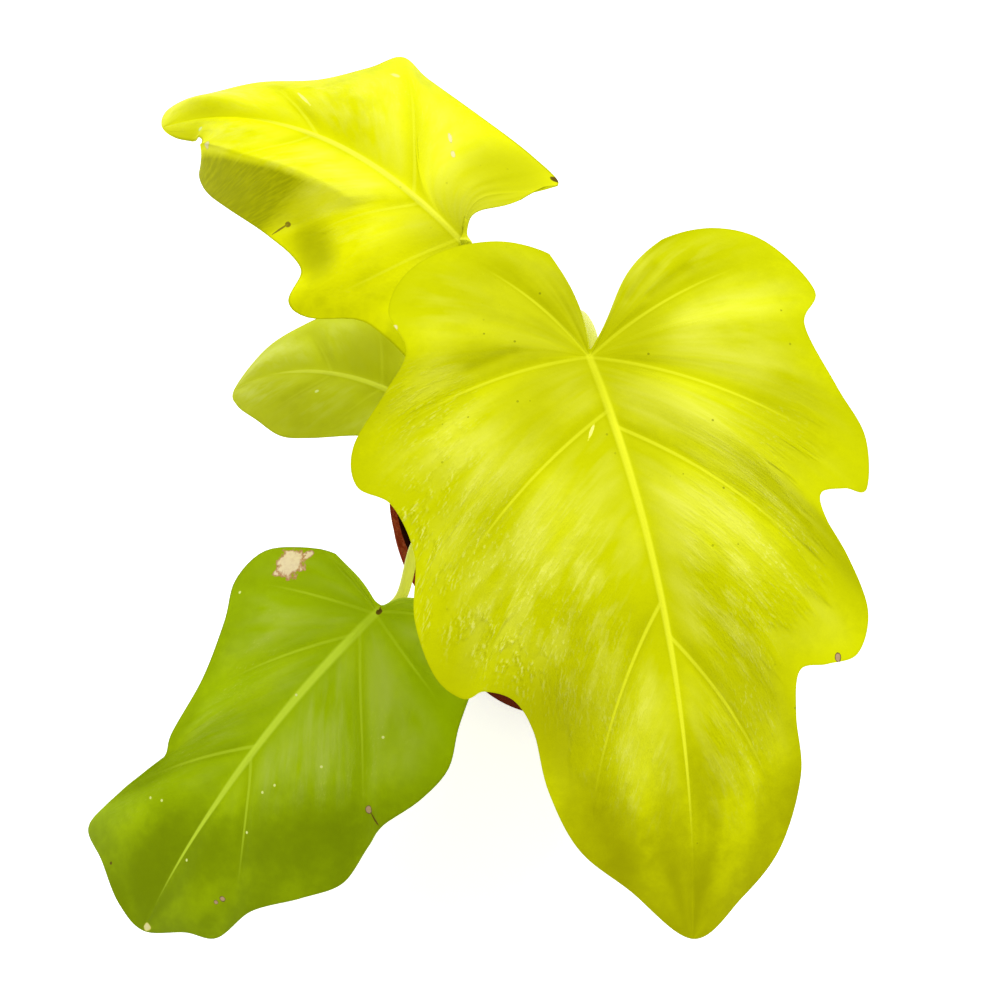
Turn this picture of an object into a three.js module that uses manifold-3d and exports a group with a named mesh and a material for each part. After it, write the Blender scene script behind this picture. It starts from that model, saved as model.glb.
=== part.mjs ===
// A young potted philodendron warscewiczii: four waved, heart-shaped leaves on arching petioles that
// clasp a short stem, in soil, in a round nursery pot. Millimetres, +Z up, origin at the centre of the
// pot's underside. The plant reaches out over the front (-Y) and the left (-X) of the pot.

import * as THREE from 'three';
import Module from 'manifold-3d';
import { mergeVertices } from 'three/addons/utils/BufferGeometryUtils.js';

const wasm = await Module();
wasm.setup();

// Clearance between pieces that touch on the real plant.
const GAP = 0.3;

// Pot
const POT_HEIGHT = 105;
const RIM_RADIUS = 60;
const RIM_THICKNESS = 2.4;
const RIM_BAND_HEIGHT = 15;
const RIM_STEP = 1.8;
const BASE_RADIUS = 41.7;
const WALL = 1.8;
const FLOOR = 2.2;
const EDGE_ROUND = 0.8;
const POT_SIDES = 48;
const DRAIN_HOLES = 6;
const DRAIN_HOLE_RADIUS = 4.5;
const DRAIN_HOLE_SIDES = 14;
const DRAIN_CIRCLE_RADIUS = 27;

// Soil
const SOIL_LEVEL = 91;
const SOIL_RINGS = 6;
const SOIL_SIDES = 36;
const SOIL_MOUND = 2.5;
// Each wave of the soil's clods is [height, radians per millimetre along x, along y, phase].
const CLOD_WAVES = [[0.55, 0.31, 0.27, 0.9], [0.55, 0.31, -0.27, 1.7], [0.55, 0.63, -0.55, 0]];

// Stem
const STEM_RADIUS = 6.5;
const STEM_FOOT_RADIUS = 4.6;
const STEM_TIP_RADIUS = 3.6;
const STEM_BOTTOM = 48;
const STEM_FOOT_HEIGHT = 8;
const STEM_TOP = 110;
const STEM_SIDES = 16;
const NODE_RING_PITCH = 6;
const NODE_RING_HEIGHT = 0.5;

// Cataphyll, the pointed sheath round the next leaf
const CATAPHYLL_LENGTH = 38;
const CATAPHYLL_RADIUS = 3.2;
const CATAPHYLL_TIP_RADIUS = 0.35;
const CATAPHYLL_LEAN = [-3.2, -4.2];
const CATAPHYLL_STEPS = 12;

// Blades
const BLADE_THICKNESS = 0.8;
const BLADE_ROWS = [1, 0.86, 0.66, 0.44, 0.24, 0.07];
const FAN_SHARE = 0.42;
const GROOVE_SHARPNESS = 5;
const RIB_TAPER = 0.8;

// Petioles
const PETIOLE_SIDES = 9;
const PETIOLE_STEPS = 18;

const COLOURS = {
  terracotta: 0x8c3a23,
  soil: 0x2c1d14,
  stem: 0x8d8f3c,
  sheath: 0xb9b85a,
  paleStalk: 0xd2d750,
  greenStalk: 0xa9b84a,
  lime: 0xd7dc0c,
  yellow: 0xe4e80f,
  olive: 0xa9b32a,
  green: 0x7c9a0c,
};

// An outline row is [x, y, lift]: x along the midrib from the junction, y to the leaf's own left, and how
// far the margin lies above the blade's arched sheet. Each half starts where its ear turns away from the
// sinus, at its second row, and runs round to the tip. The first row only steers the curve. The sinus
// margin itself runs from the junction to the second row. Its sinus values are how far it swings into the
// blade as shares of its length, in one sweep and in an S, how far it is raised, and how many veins swing
// with it. A vein row is [rows past the second that it runs to, x where it leaves the midrib].
const LEAVES = {
  front: {
    colour: COLOURS.lime,
    junction: [5, -14, 215],
    heading: -79.5,
    pitch: 22,
    roll: 0,
    length: 172,
    halfWidth: 80,
    midribBow: 7,
    arch: 10,
    droop: 8,
    gull: 2.5,
    quilt: 2,
    veinBow: 0.06,
    ribHeight: 2.2,
    columns: 40,
    right: {
      sinus: [-0.07, 0, 1.5, 1],
      outline: [
        [-25, 0, 3], [-34, -5.5, 2], [-41, -19, -1], [-41.5, -36, -3], [-36, -49, -4], [-25, -56, -4],
        [-11, -53, 0], [0, -61, -3], [14, -73, -8], [26, -74, -9], [34, -65, -4], [50, -61, -1],
        [68, -64, -2], [85, -61, -5], [93, -54, -7], [92, -48, -3], [96, -40, -2], [106, -36, -1],
        [123, -34.5, -3], [141, -28.5, -4], [155, -16, -4], [172, 0, -3],
      ],
      veins: [[2, 0], [7.3, 0], [11.4, 17], [18.2, 75]],
    },
    left: {
      sinus: [-0.07, 0.025, 1.5, 1],
      outline: [
        [-24, 18, 3], [-32.5, 28.5, 3], [-34.5, 46, 1], [-28, 61.5, -1], [-11, 73, -3], [0, 66.5, -1],
        [20, 72.5, -4], [36, 78.5, -7], [52, 75, -6], [51, 68, -4], [51.5, 59.5, -1], [59, 59, 0],
        [73, 64.5, -3], [88, 68, -7], [99.5, 62.5, -7], [101, 52, -4], [101.5, 43, -2],
        [114, 39.5, -1], [131, 38.5, -3], [150.5, 29.5, -4], [163, 16, -4], [172, 0, -3],
      ],
      veins: [[2.3, 0], [6.6, 0], [12.2, 22], [17.8, 85]],
    },
  },
  far: {
    colour: COLOURS.yellow,
    junction: [-33, 34, 205],
    heading: 148,
    pitch: 11,
    roll: -4,
    length: 123,
    halfWidth: 58,
    midribBow: -9,
    arch: 15,
    droop: 6,
    gull: 2.5,
    quilt: 2,
    veinBow: 0.05,
    ribHeight: 2,
    columns: 38,
    right: {
      sinus: [0.16, 0.06, 0, 3],
      outline: [
        [-5, -17, 0], [-7, -23.5, 0], [-9.2, -32, -1], [-10.2, -38.3, -4], [2, -43, -8], [26, -48, -12],
        [47, -52.5, -13], [60, -56.5, -12], [65, -45, -9], [77, -32.5, -7], [97, -25, -5],
        [111, -18.5, -4], [120, -16, -4], [128, -13, -4], [130.5, -8, -4], [123, 0, -3],
      ],
      veins: [[2.4, 0], [3.6, 4], [6, 20], [9, 58]],
    },
    left: {
      sinus: [0, 0, 1, 1],
      outline: [
        [-17, 10, 1], [-22, 18, 1], [-24, 32, -1], [-12, 42, -3], [3, 40, -2], [14, 39, -4], [27, 46, -4],
        [35, 45, -3], [40, 32, -7], [58, 25, -12], [79, 20, -14], [93, 15.5, -15], [99, 11, -12],
        [96, 7, -7], [100, 4, -5], [113, 3.5, -4], [123, 0, -3],
      ],
      veins: [[1, 0], [5.5, 2], [7.7, 17], [9.8, 60]],
    },
  },
  small: {
    colour: COLOURS.olive,
    junction: [-54, 20, 135],
    heading: 165,
    pitch: 20,
    roll: 0,
    length: 67,
    halfWidth: 28,
    midribBow: -4,
    arch: 8,
    droop: 3,
    gull: 1,
    quilt: 0.6,
    veinBow: 0.05,
    ribHeight: 1.1,
    columns: 26,
    right: {
      sinus: [0, 0, 0, 1],
      outline: [
        [-3, -3, 0], [-4, -8, 0], [-3, -17, 0], [5, -26, -1], [19, -30, -1], [34, -29, -1],
        [46, -25, -2], [60.5, -16.5, -2], [67, 0, 0],
      ],
      veins: [[1, 0], [3, 8], [5, 26]],
    },
    left: {
      sinus: [0, 0, 0, 1],
      outline: [
        [-3, 3, 0], [-3, 8, 0], [0, 15, -1], [13, 18.5, -2], [26, 21.5, -2], [38, 21.5, -2], [51, 14.5, -2],
        [62.5, 7.5, -1], [67, 0, 0],
      ],
      veins: [[1, 0], [3, 8], [5, 26]],
    },
  },
  low: {
    colour: COLOURS.green,
    junction: [-61, -60, 135],
    heading: -134,
    pitch: 33,
    roll: 0,
    length: 137,
    halfWidth: 56,
    midribBow: -3,
    arch: 8,
    droop: 6,
    gull: 2.5,
    quilt: 1.6,
    veinBow: 0.035,
    ribHeight: 1.8,
    columns: 38,
    right: {
      sinus: [-0.08, 0, 1.5, 1],
      outline: [
        [-5, -12, 2], [-5.5, -23, 1], [2, -36, -2], [12, -46, -4], [25, -47, -4], [36, -39, -1],
        [54.5, -32.5, -1], [74, -28.5, 2], [82, -26, 1.5], [93, -29.5, 0], [113, -37, -4],
        [126, -38.5, -4], [128, -25.5, 0], [134, -11.5, 1], [137, 0, -3],
      ],
      veins: [[0.5, 0], [3, 1], [5.4, 10], [8.6, 58]],
    },
    left: {
      sinus: [-0.12, 0, 2, 1],
      outline: [
        [-9, 4, 3], [-14, 12, 3], [-16, 26, 0], [-8, 37, -4], [4, 40, -8], [13, 43.5, -8],
        [24, 49.5, -6], [36.5, 49.5, -3], [50, 46, 0], [60, 45.5, -4], [75, 45.5, -6], [87, 38.5, -3],
        [102, 28, -2], [119.5, 22.5, -5], [125.5, 13, -3], [137, 0, -3],
      ],
      veins: [[1, 0], [4, 1], [8.2, 8], [11.5, 62]],
    },
  },
};

// Each petiole runs from the stem, through the chosen points, to its blade's junction. Its approach and
// its end are given in the blade's own directions, from the junction, so that the stalk comes up to the
// blade from below.
const PETIOLES = {
  front: {
    colour: COLOURS.paleStalk,
    route: [[3.5, 2.5, 104], [7, 8, 114], [7, 17, 145], [3, 19, 185]],
    approach: [-8, 2.5, -9],
    radii: [3.8, 2.2],
  },
  far: {
    colour: COLOURS.paleStalk,
    route: [[-1, 3, 104], [-4, 9.5, 113], [-11, 16, 136], [-20, 24, 170]],
    approach: [-7, 1, -8],
    radii: [3.6, 2],
  },
  small: {
    colour: COLOURS.paleStalk,
    route: [[-3, 1, 100], [-10, 3, 103], [-24, 9, 113], [-39, 14, 124]],
    approach: [-6, 0, -4],
    radii: [2.8, 1.3],
  },
  low: {
    colour: COLOURS.greenStalk,
    route: [[-2, -2, 99], [-9, -7, 104], [-28, -16, 117], [-47, -29, 128]],
    approach: [-6, 2, -5],
    radii: [3.6, 1.9],
  },
};
const PETIOLE_END = [1.5, 0.2, -1.2];

// Shared helpers

function material(colour, roughness) {
  return new THREE.MeshStandardMaterial({ color: colour, roughness, metalness: 0 });
}

function named(name, geometry, meshMaterial) {
  const mesh = new THREE.Mesh(geometry, meshMaterial);
  mesh.name = name;
  return mesh;
}

function solidOf(geometry) {
  const bare = geometry.clone();
  bare.deleteAttribute('normal');
  bare.deleteAttribute('uv');
  const merged = mergeVertices(bare, 1e-4);
  return new wasm.Manifold(new wasm.Mesh({
    numProp: 3,
    vertProperties: new Float32Array(merged.attributes.position.array),
    triVerts: new Uint32Array(merged.index.array),
  }));
}

function geometryOf(solid) {
  const mesh = solid.getMesh();
  const geometry = new THREE.BufferGeometry();
  geometry.setAttribute('position', new THREE.BufferAttribute(new Float32Array(mesh.vertProperties), 3));
  geometry.setIndex(new THREE.BufferAttribute(new Uint32Array(mesh.triVerts), 1));
  geometry.computeVertexNormals();
  return geometry;
}

// A lathe about +Z from [radius, height] rows that start and end on the axis.
function turned(profile, sides) {
  const points = profile.map(([radius, height]) => new THREE.Vector2(radius, height));
  const geometry = new THREE.LatheGeometry(points, sides);
  geometry.rotateX(Math.PI / 2);
  return geometry;
}

// A tube with flat ends through ring centres, given a radius for each share of its length.
function taperedTube(curve, steps, sides, radiusAt) {
  const frames = curve.computeFrenetFrames(steps, false);
  const positions = [];
  const index = [];
  for (let i = 0; i <= steps; i += 1) {
    const centre = curve.getPointAt(i / steps);
    const radius = radiusAt(i / steps);
    for (let j = 0; j < sides; j += 1) {
      const angle = (2 * Math.PI * j) / sides;
      const offset = frames.normals[i].clone().multiplyScalar(radius * Math.cos(angle));
      offset.addScaledVector(frames.binormals[i], radius * Math.sin(angle));
      positions.push(...centre.clone().add(offset).toArray());
    }
  }
  const ring = (i, j) => i * sides + (j % sides);
  for (let i = 0; i < steps; i += 1) {
    for (let j = 0; j < sides; j += 1) {
      index.push(ring(i, j), ring(i, j + 1), ring(i + 1, j));
      index.push(ring(i, j + 1), ring(i + 1, j + 1), ring(i + 1, j));
    }
  }
  for (let j = 1; j < sides - 1; j += 1) {
    index.push(ring(0, 0), ring(0, j + 1), ring(0, j));
    index.push(ring(steps, 0), ring(steps, j), ring(steps, j + 1));
  }
  const geometry = new THREE.BufferGeometry();
  geometry.setAttribute('position', new THREE.Float32BufferAttribute(positions, 3));
  geometry.setIndex(index);
  return geometry;
}

// Pot and soil

function potOuterRadius(height) {
  const top = RIM_RADIUS - RIM_STEP;
  return BASE_RADIUS + ((top - BASE_RADIUS) * height) / POT_HEIGHT;
}

function buildPot() {
  const bandBottom = POT_HEIGHT - RIM_BAND_HEIGHT;
  const lipRound = RIM_THICKNESS / 4;
  const shell = turned([
    [0, 0],
    [BASE_RADIUS - EDGE_ROUND, 0],
    [BASE_RADIUS, EDGE_ROUND],
    [potOuterRadius(bandBottom), bandBottom],
    [RIM_RADIUS - EDGE_ROUND, bandBottom + EDGE_ROUND],
    [RIM_RADIUS, POT_HEIGHT - lipRound],
    [RIM_RADIUS - lipRound, POT_HEIGHT],
    [RIM_RADIUS - RIM_THICKNESS + lipRound, POT_HEIGHT],
    [RIM_RADIUS - RIM_THICKNESS, POT_HEIGHT - lipRound],
    [potOuterRadius(bandBottom) - WALL, bandBottom],
    [potOuterRadius(FLOOR) - WALL, FLOOR],
    [0, FLOOR],
  ], POT_SIDES);
  let solid = solidOf(shell);
  for (let i = 0; i < DRAIN_HOLES; i += 1) {
    const angle = (2 * Math.PI * (i + 0.5)) / DRAIN_HOLES;
    const radius = DRAIN_HOLE_RADIUS;
    const drill = new THREE.CylinderGeometry(radius, radius, 4 * FLOOR, DRAIN_HOLE_SIDES);
    drill.rotateX(Math.PI / 2);
    drill.translate(DRAIN_CIRCLE_RADIUS * Math.cos(angle), DRAIN_CIRCLE_RADIUS * Math.sin(angle), 0);
    solid = solid.subtract(solidOf(drill));
  }
  return named('pot', geometryOf(solid), material(COLOURS.terracotta, 0.5));
}

// The soil's surface: a low mound round the stem with small clods.
function soilHeight(x, y) {
  const share = Math.hypot(x, y) / RIM_RADIUS;
  let clods = 0;
  for (const [height, alongX, alongY, phase] of CLOD_WAVES) {
    clods += height * Math.sin(alongX * x + alongY * y + phase);
  }
  return SOIL_LEVEL + SOIL_MOUND * (1 - share) ** 2 + clods * (1 - share);
}

function buildSoil(stemSolid) {
  const floor = FLOOR + GAP;
  const reach = (height) => potOuterRadius(height) - WALL - GAP;
  const profile = [[0, floor], [reach(floor), floor]];
  const lastRadius = reach(SOIL_LEVEL - 1);
  for (let i = SOIL_RINGS; i >= 0; i -= 1) {
    profile.push([(lastRadius * i) / SOIL_RINGS, SOIL_LEVEL]);
  }
  const geometry = turned(profile, SOIL_SIDES);
  const position = geometry.attributes.position;
  for (let i = 0; i < position.count; i += 1) {
    if (position.getZ(i) > SOIL_LEVEL - 1) {
      position.setZ(i, soilHeight(position.getX(i), position.getY(i)));
    }
  }
  return named('soil', geometryOf(solidOf(geometry).subtract(stemSolid)), material(COLOURS.soil, 0.95));
}

// Stem and cataphyll

// The stem's rounded outline with its rings, where old leaves stood, grown by a clearance for the hole in
// the soil.
function stemProfile(clearance) {
  const foot = STEM_BOTTOM - clearance;
  const profile = [[0, foot], [STEM_FOOT_RADIUS + clearance, foot]];
  const lastRing = STEM_TOP - NODE_RING_PITCH;
  for (let height = STEM_BOTTOM + STEM_FOOT_HEIGHT; height <= lastRing; height += NODE_RING_PITCH) {
    profile.push([STEM_RADIUS + clearance, height]);
    profile.push([STEM_RADIUS + clearance + NODE_RING_HEIGHT, height + NODE_RING_PITCH / 3]);
  }
  profile.push([STEM_TIP_RADIUS + clearance, STEM_TOP + clearance]);
  profile.push([0, STEM_TOP + clearance]);
  return profile;
}

function buildStem() {
  return named('stem', turned(stemProfile(0), STEM_SIDES), material(COLOURS.stem, 0.6));
}

// A sheath that swells above its base and runs out into a point, which leans over by the square of its
// height.
function buildCataphyll() {
  const points = [];
  for (let share = 0; share <= 1; share += 0.25) {
    const lean = share ** 2;
    const height = STEM_TOP + GAP + CATAPHYLL_LENGTH * share;
    points.push(new THREE.Vector3(CATAPHYLL_LEAN[0] * lean, CATAPHYLL_LEAN[1] * lean, height));
  }
  const radiusAt = (share) => {
    const swelling = Math.sqrt(1 - share) * (1 + 0.4 * share);
    return CATAPHYLL_TIP_RADIUS + (CATAPHYLL_RADIUS - CATAPHYLL_TIP_RADIUS) * swelling;
  };
  const sheath = taperedTube(new THREE.CatmullRomCurve3(points), CATAPHYLL_STEPS, PETIOLE_SIDES, radiusAt);
  return named('cataphyll', sheath, material(COLOURS.sheath, 0.5));
}

// Blades

// The leaf's own directions: forward along the midrib, to its left, and up out of its upper face.
function leafDirections(leaf) {
  const heading = THREE.MathUtils.degToRad(leaf.heading);
  const pitch = THREE.MathUtils.degToRad(leaf.pitch);
  const roll = THREE.MathUtils.degToRad(leaf.roll);
  const level = Math.cos(pitch);
  const forward = new THREE.Vector3(level * Math.cos(heading), level * Math.sin(heading), -Math.sin(pitch));
  const flatLeft = new THREE.Vector3(-Math.sin(heading), Math.cos(heading), 0);
  const flatUp = forward.clone().cross(flatLeft);
  const left = flatLeft.clone().multiplyScalar(Math.cos(roll)).addScaledVector(flatUp, Math.sin(roll));
  const up = flatUp.clone().multiplyScalar(Math.cos(roll)).addScaledVector(flatLeft, -Math.sin(roll));
  return { forward, left, up };
}

function leafPoint(leaf, x, y, height) {
  const { forward, left, up } = leafDirections(leaf);
  const point = new THREE.Vector3(...leaf.junction);
  return point.addScaledVector(forward, x).addScaledVector(left, y).addScaledVector(up, height);
}

function midribY(leaf, x) {
  const share = THREE.MathUtils.clamp(x / leaf.length, 0, 1);
  return leaf.midribBow * 4 * share * (1 - share);
}

// The arched sheet: highest halfway along, falling to the sides, with a shallow groove along the midrib.
function sheetHeight(leaf, x, y) {
  const along = (2 * x) / leaf.length - 1;
  const across = Math.abs(y - midribY(leaf, x)) / leaf.halfWidth;
  const groove = leaf.gull * (1 - Math.exp(-((GROOVE_SHARPNESS * across) ** 2)));
  return leaf.arch * (1 - along ** 2) - leaf.droop * across ** 2 + groove;
}

// A smooth curve through the outline rows from the second on.
function outlineAt(rows, position) {
  const last = rows.length - 1;
  const start = Math.min(Math.floor(position), last - 2);
  const u = position - start;
  const pastTip = rows[last].map((value, i) => 2 * value - rows[last - 1][i]);
  const after = start + 3 <= last ? rows[start + 3] : pastTip;
  return rows[start].map((a, i) => {
    const b = rows[start + 1][i];
    const c = rows[start + 2][i];
    const d = after[i];
    const square = 2 * a - 5 * b + 4 * c - d;
    const cube = 3 * b - a - 3 * c + d;
    return b + ((c - a) * u + square * u ** 2 + cube * u ** 3) / 2;
  });
}

// The share of a blade's columns at which its rays leave the midrib at x. All rays before FAN_SHARE leave
// the junction.
function columnShareOf(leaf, x) {
  return FAN_SHARE + (1 - FAN_SHARE) * Math.sqrt(x / leaf.length);
}

function rootX(leaf, share) {
  const past = THREE.MathUtils.clamp((share - FAN_SHARE) / (1 - FAN_SHARE), 0, 1);
  return leaf.length * past ** 2;
}

// Pairs of column share and outline position that both halves' rays pass through: the sinus, each vein
// and the tip.
function rayAnchors(leaf, half) {
  const fanVeins = half.veins.filter(([, x]) => x === 0);
  const lastFan = fanVeins[fanVeins.length - 1][0];
  const anchors = [[0, 0]];
  for (const [position, x] of half.veins) {
    anchors.push([x === 0 ? (FAN_SHARE * position) / lastFan : columnShareOf(leaf, x), position]);
  }
  anchors.push([1, half.outline.length - 2]);
  return anchors;
}

// A blade's upper face at a column share, and at a share of the way from the midrib to the margin.
function bladePoint(leaf, side, share, outward) {
  const half = side > 0 ? leaf.left : leaf.right;
  const anchors = rayAnchors(leaf, half);
  let segment = 0;
  while (segment < anchors.length - 2 && share > anchors[segment + 1][0]) {
    segment += 1;
  }
  const [shareA, positionA] = anchors[segment];
  const [shareB, positionB] = anchors[segment + 1];
  const between = (share - shareA) / (shareB - shareA);
  const [edgeX, edgeY, lift] = outlineAt(half.outline, positionA + (positionB - positionA) * between);
  const startX = rootX(leaf, share);
  const startY = midribY(leaf, startX);
  const spanX = edgeX - startX;
  const spanY = edgeY - startY;
  const vein = segment + between;
  const [sweep, ess, raise, reach] = half.sinus;
  const withSinus = THREE.MathUtils.clamp(reach - vein, 0, 1);
  const sinusSwing = sweep * Math.sin(Math.PI * outward) + ess * Math.sin(2 * Math.PI * outward);
  const free = Math.min(1 - withSinus, anchors.length - 1 - vein);
  const veinSwing = 4 * outward * (1 - outward) * leaf.veinBow * free;
  const swing = side * (withSinus * sinusSwing - veinSwing);
  const x = startX + outward * spanX + swing * spanY;
  const y = startY + outward * spanY - swing * spanX;
  const quilting = leaf.quilt * Math.sin(Math.PI * vein) ** 2;
  const puff = (quilting + raise * Math.max(0, 1 - vein)) * Math.sin(Math.PI * outward);
  return { x, y, height: sheetHeight(leaf, x, y) + lift * outward ** 2 + puff };
}

// How far the midrib stands out under the blade.
function ribDepth(leaf, x) {
  return leaf.ribHeight * (1 - RIB_TAPER * THREE.MathUtils.clamp(x / leaf.length, 0, 1));
}

// One closed body: an upper and a lower face of like triangles, joined round the margin. A margin of
// clearance thickens it above and below, for fitting the petiole to it.
function bladeGeometry(leaf, clearance) {
  const { columns } = leaf;
  const rightHalf = BLADE_ROWS.map((row) => [-1, row]);
  const leftHalf = BLADE_ROWS.map((row) => [1, row]).reverse();
  const across = [...rightHalf, [1, 0], ...leftHalf];
  const width = across.length;
  const positions = [];
  for (const face of ['upper', 'lower']) {
    for (let i = 0; i <= columns; i += 1) {
      for (const [side, outward] of across) {
        const { x, y, height } = bladePoint(leaf, side, i / columns, outward);
        const rib = outward === 0 ? ribDepth(leaf, x) : 0;
        const depth = face === 'upper' ? -clearance : BLADE_THICKNESS + rib + clearance;
        positions.push(...leafPoint(leaf, x, y, height - depth).toArray());
      }
    }
  }
  const lowerStart = (columns + 1) * width;
  const at = (i, j) => i * width + j;
  const index = [];
  for (let i = 0; i < columns; i += 1) {
    for (let j = 0; j < width - 1; j += 1) {
      const quad = [at(i, j), at(i + 1, j), at(i + 1, j + 1), at(i, j + 1)];
      for (const [a, b, c] of [[0, 1, 2], [0, 2, 3]]) {
        index.push(quad[a], quad[b], quad[c]);
        index.push(quad[a] + lowerStart, quad[c] + lowerStart, quad[b] + lowerStart);
      }
    }
  }
  const loop = [];
  for (let i = 0; i <= columns; i += 1) {
    loop.push(at(i, 0));
  }
  for (let i = columns; i >= 0; i -= 1) {
    loop.push(at(i, width - 1));
  }
  for (let j = width - 2; j > 0; j -= 1) {
    loop.push(at(0, j));
  }
  loop.forEach((a, k) => {
    const b = loop[(k + 1) % loop.length];
    index.push(b, a, a + lowerStart);
    index.push(b, a + lowerStart, b + lowerStart);
  });
  const geometry = new THREE.BufferGeometry();
  geometry.setAttribute('position', new THREE.Float32BufferAttribute(positions, 3));
  geometry.setIndex(index);
  return cleaned(geometry);
}

// Merges the points that meet at the junction and the tip, and drops the triangles that they close up.
function cleaned(geometry) {
  const merged = mergeVertices(geometry, 1e-3);
  const source = merged.index.array;
  const kept = [];
  for (let i = 0; i < source.length; i += 3) {
    const [a, b, c] = [source[i], source[i + 1], source[i + 2]];
    if (a !== b && b !== c && c !== a) {
      kept.push(a, b, c);
    }
  }
  merged.setIndex(kept);
  merged.computeVertexNormals();
  return merged;
}

// Petioles

function buildPetiole(name, leaf, petiole, stemSolid) {
  const points = petiole.route.map((point) => new THREE.Vector3(...point));
  points.push(leafPoint(leaf, ...petiole.approach));
  points.push(leafPoint(leaf, ...PETIOLE_END));
  const curve = new THREE.CatmullRomCurve3(points, false, 'centripetal');
  const [baseRadius, topRadius] = petiole.radii;
  const radiusAt = (share) => topRadius + (baseRadius - topRadius) * (1 - share) ** 3;
  const tube = taperedTube(curve, PETIOLE_STEPS, PETIOLE_SIDES, radiusAt);
  const clearOfBlade = solidOf(tube).subtract(solidOf(bladeGeometry(leaf, GAP)));
  const pieces = clearOfBlade.subtract(stemSolid).decompose();
  const fitted = pieces.reduce((largest, piece) => (piece.volume() > largest.volume() ? piece : largest));
  return named(name, geometryOf(fitted), material(petiole.colour, 0.5));
}

const plant = new THREE.Group();
const stemHole = solidOf(turned(stemProfile(GAP), STEM_SIDES));
plant.add(buildPot());
plant.add(buildSoil(stemHole));
plant.add(buildStem());
plant.add(buildCataphyll());
for (const [key, leaf] of Object.entries(LEAVES)) {
  plant.add(buildPetiole(`petiole_${key}`, leaf, PETIOLES[key], stemHole));
  plant.add(named(`blade_${key}`, bladeGeometry(leaf, 0), material(leaf.colour, 0.45)));
}

export default plant;
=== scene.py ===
"""The looks of a young potted philodendron warscewiczii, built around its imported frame.

Objects are in metres, +Z up, with the origin at the centre of the pot's underside. Each blade is laid
out in millimetres on its own flat sheet, x along the midrib from the junction and y to the leaf's left.
Its flat chart repeats those in steps of FLAT_UNIT millimetres.
"""
import logging
import math
import random
from contextlib import contextmanager
from dataclasses import dataclass
from enum import Enum
from typing import Callable, Iterator, Union

import bpy
import numpy as np
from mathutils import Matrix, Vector, noise


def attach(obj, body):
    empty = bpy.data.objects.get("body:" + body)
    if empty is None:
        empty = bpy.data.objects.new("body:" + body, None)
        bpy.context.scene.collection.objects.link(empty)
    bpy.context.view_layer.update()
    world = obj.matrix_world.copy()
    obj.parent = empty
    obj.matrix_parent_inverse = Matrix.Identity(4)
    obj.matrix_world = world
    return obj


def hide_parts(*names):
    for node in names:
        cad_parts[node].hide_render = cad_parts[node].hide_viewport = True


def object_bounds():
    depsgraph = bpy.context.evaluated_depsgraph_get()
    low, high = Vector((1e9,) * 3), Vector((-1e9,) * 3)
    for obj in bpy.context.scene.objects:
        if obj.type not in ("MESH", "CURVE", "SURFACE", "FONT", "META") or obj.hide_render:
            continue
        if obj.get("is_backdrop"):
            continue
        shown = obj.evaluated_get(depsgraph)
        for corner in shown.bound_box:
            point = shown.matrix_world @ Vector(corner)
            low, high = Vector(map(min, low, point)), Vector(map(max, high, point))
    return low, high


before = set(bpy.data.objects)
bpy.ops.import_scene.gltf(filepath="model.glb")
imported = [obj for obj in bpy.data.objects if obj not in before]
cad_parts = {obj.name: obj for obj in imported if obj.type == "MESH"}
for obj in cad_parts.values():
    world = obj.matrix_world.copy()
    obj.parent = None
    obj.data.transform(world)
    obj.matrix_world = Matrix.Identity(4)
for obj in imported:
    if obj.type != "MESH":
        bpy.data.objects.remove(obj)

LOG = logging.getLogger("potted_philodendron")
FRAME_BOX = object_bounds()
BODY = "root"
MM = 0.001
FLAT_UNIT = 100.0

Colour = tuple[float, float, float, float]
Socket = bpy.types.NodeSocket
Row = tuple[float, ...]


def tone(red: int, green: int, blue: int) -> Colour:
    """The scene-linear colour of a display colour given in steps of 0 to 255."""
    shares = [step / 255 for step in (red, green, blue)]
    return (*[s / 12.92 if s < 0.0405 else ((s + 0.055) / 1.055) ** 2.4 for s in shares], 1.0)


# Shader building

Value = Union["Signal", float]


class Signal:
    """A shader value. Sums on it add the Math nodes that work them out."""

    def __init__(self, graph: "Graph", socket: Socket) -> None:
        """Wraps an output socket of the graph."""
        self.graph = graph
        self.socket = socket

    def maths(self, operation: str, *values: Value) -> "Signal":
        """The result of a Math node on the given values."""
        node = self.graph.node("ShaderNodeMath", {"operation": operation}, dict(enumerate(values)))
        return Signal(self.graph, node.outputs[0])

    def __add__(self, other: Value) -> "Signal":
        """The sum."""
        return self.maths("ADD", self, other)

    def __sub__(self, other: Value) -> "Signal":
        """The difference."""
        return self.maths("SUBTRACT", self, other)

    def __rsub__(self, other: Value) -> "Signal":
        """The difference from a plain number."""
        return self.maths("SUBTRACT", other, self)

    def __mul__(self, other: Value) -> "Signal":
        """The product."""
        return self.maths("MULTIPLY", self, other)

    __radd__ = __add__
    __rmul__ = __mul__

    def largest(self, other: Value) -> "Signal":
        """The larger of the two."""
        return self.maths("MAXIMUM", self, other)

    def eased(self, low: float, high: float) -> "Signal":
        """A smooth step from 0 at low to 1 at high. It falls where low is above high.

        Args:
            low: The value that gives 0.
            high: The value that gives 1.

        Returns:
            The step as a value from 0 to 1.
        """
        first, last, start, stop = (low, high, 0, 1) if low < high else (high, low, 1, 0)
        sockets = {"Value": self, "From Min": first, "From Max": last, "To Min": start, "To Max": stop}
        node = self.graph.node("ShaderNodeMapRange", {"interpolation_type": "SMOOTHSTEP"}, sockets)
        return Signal(self.graph, node.outputs[0])


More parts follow.
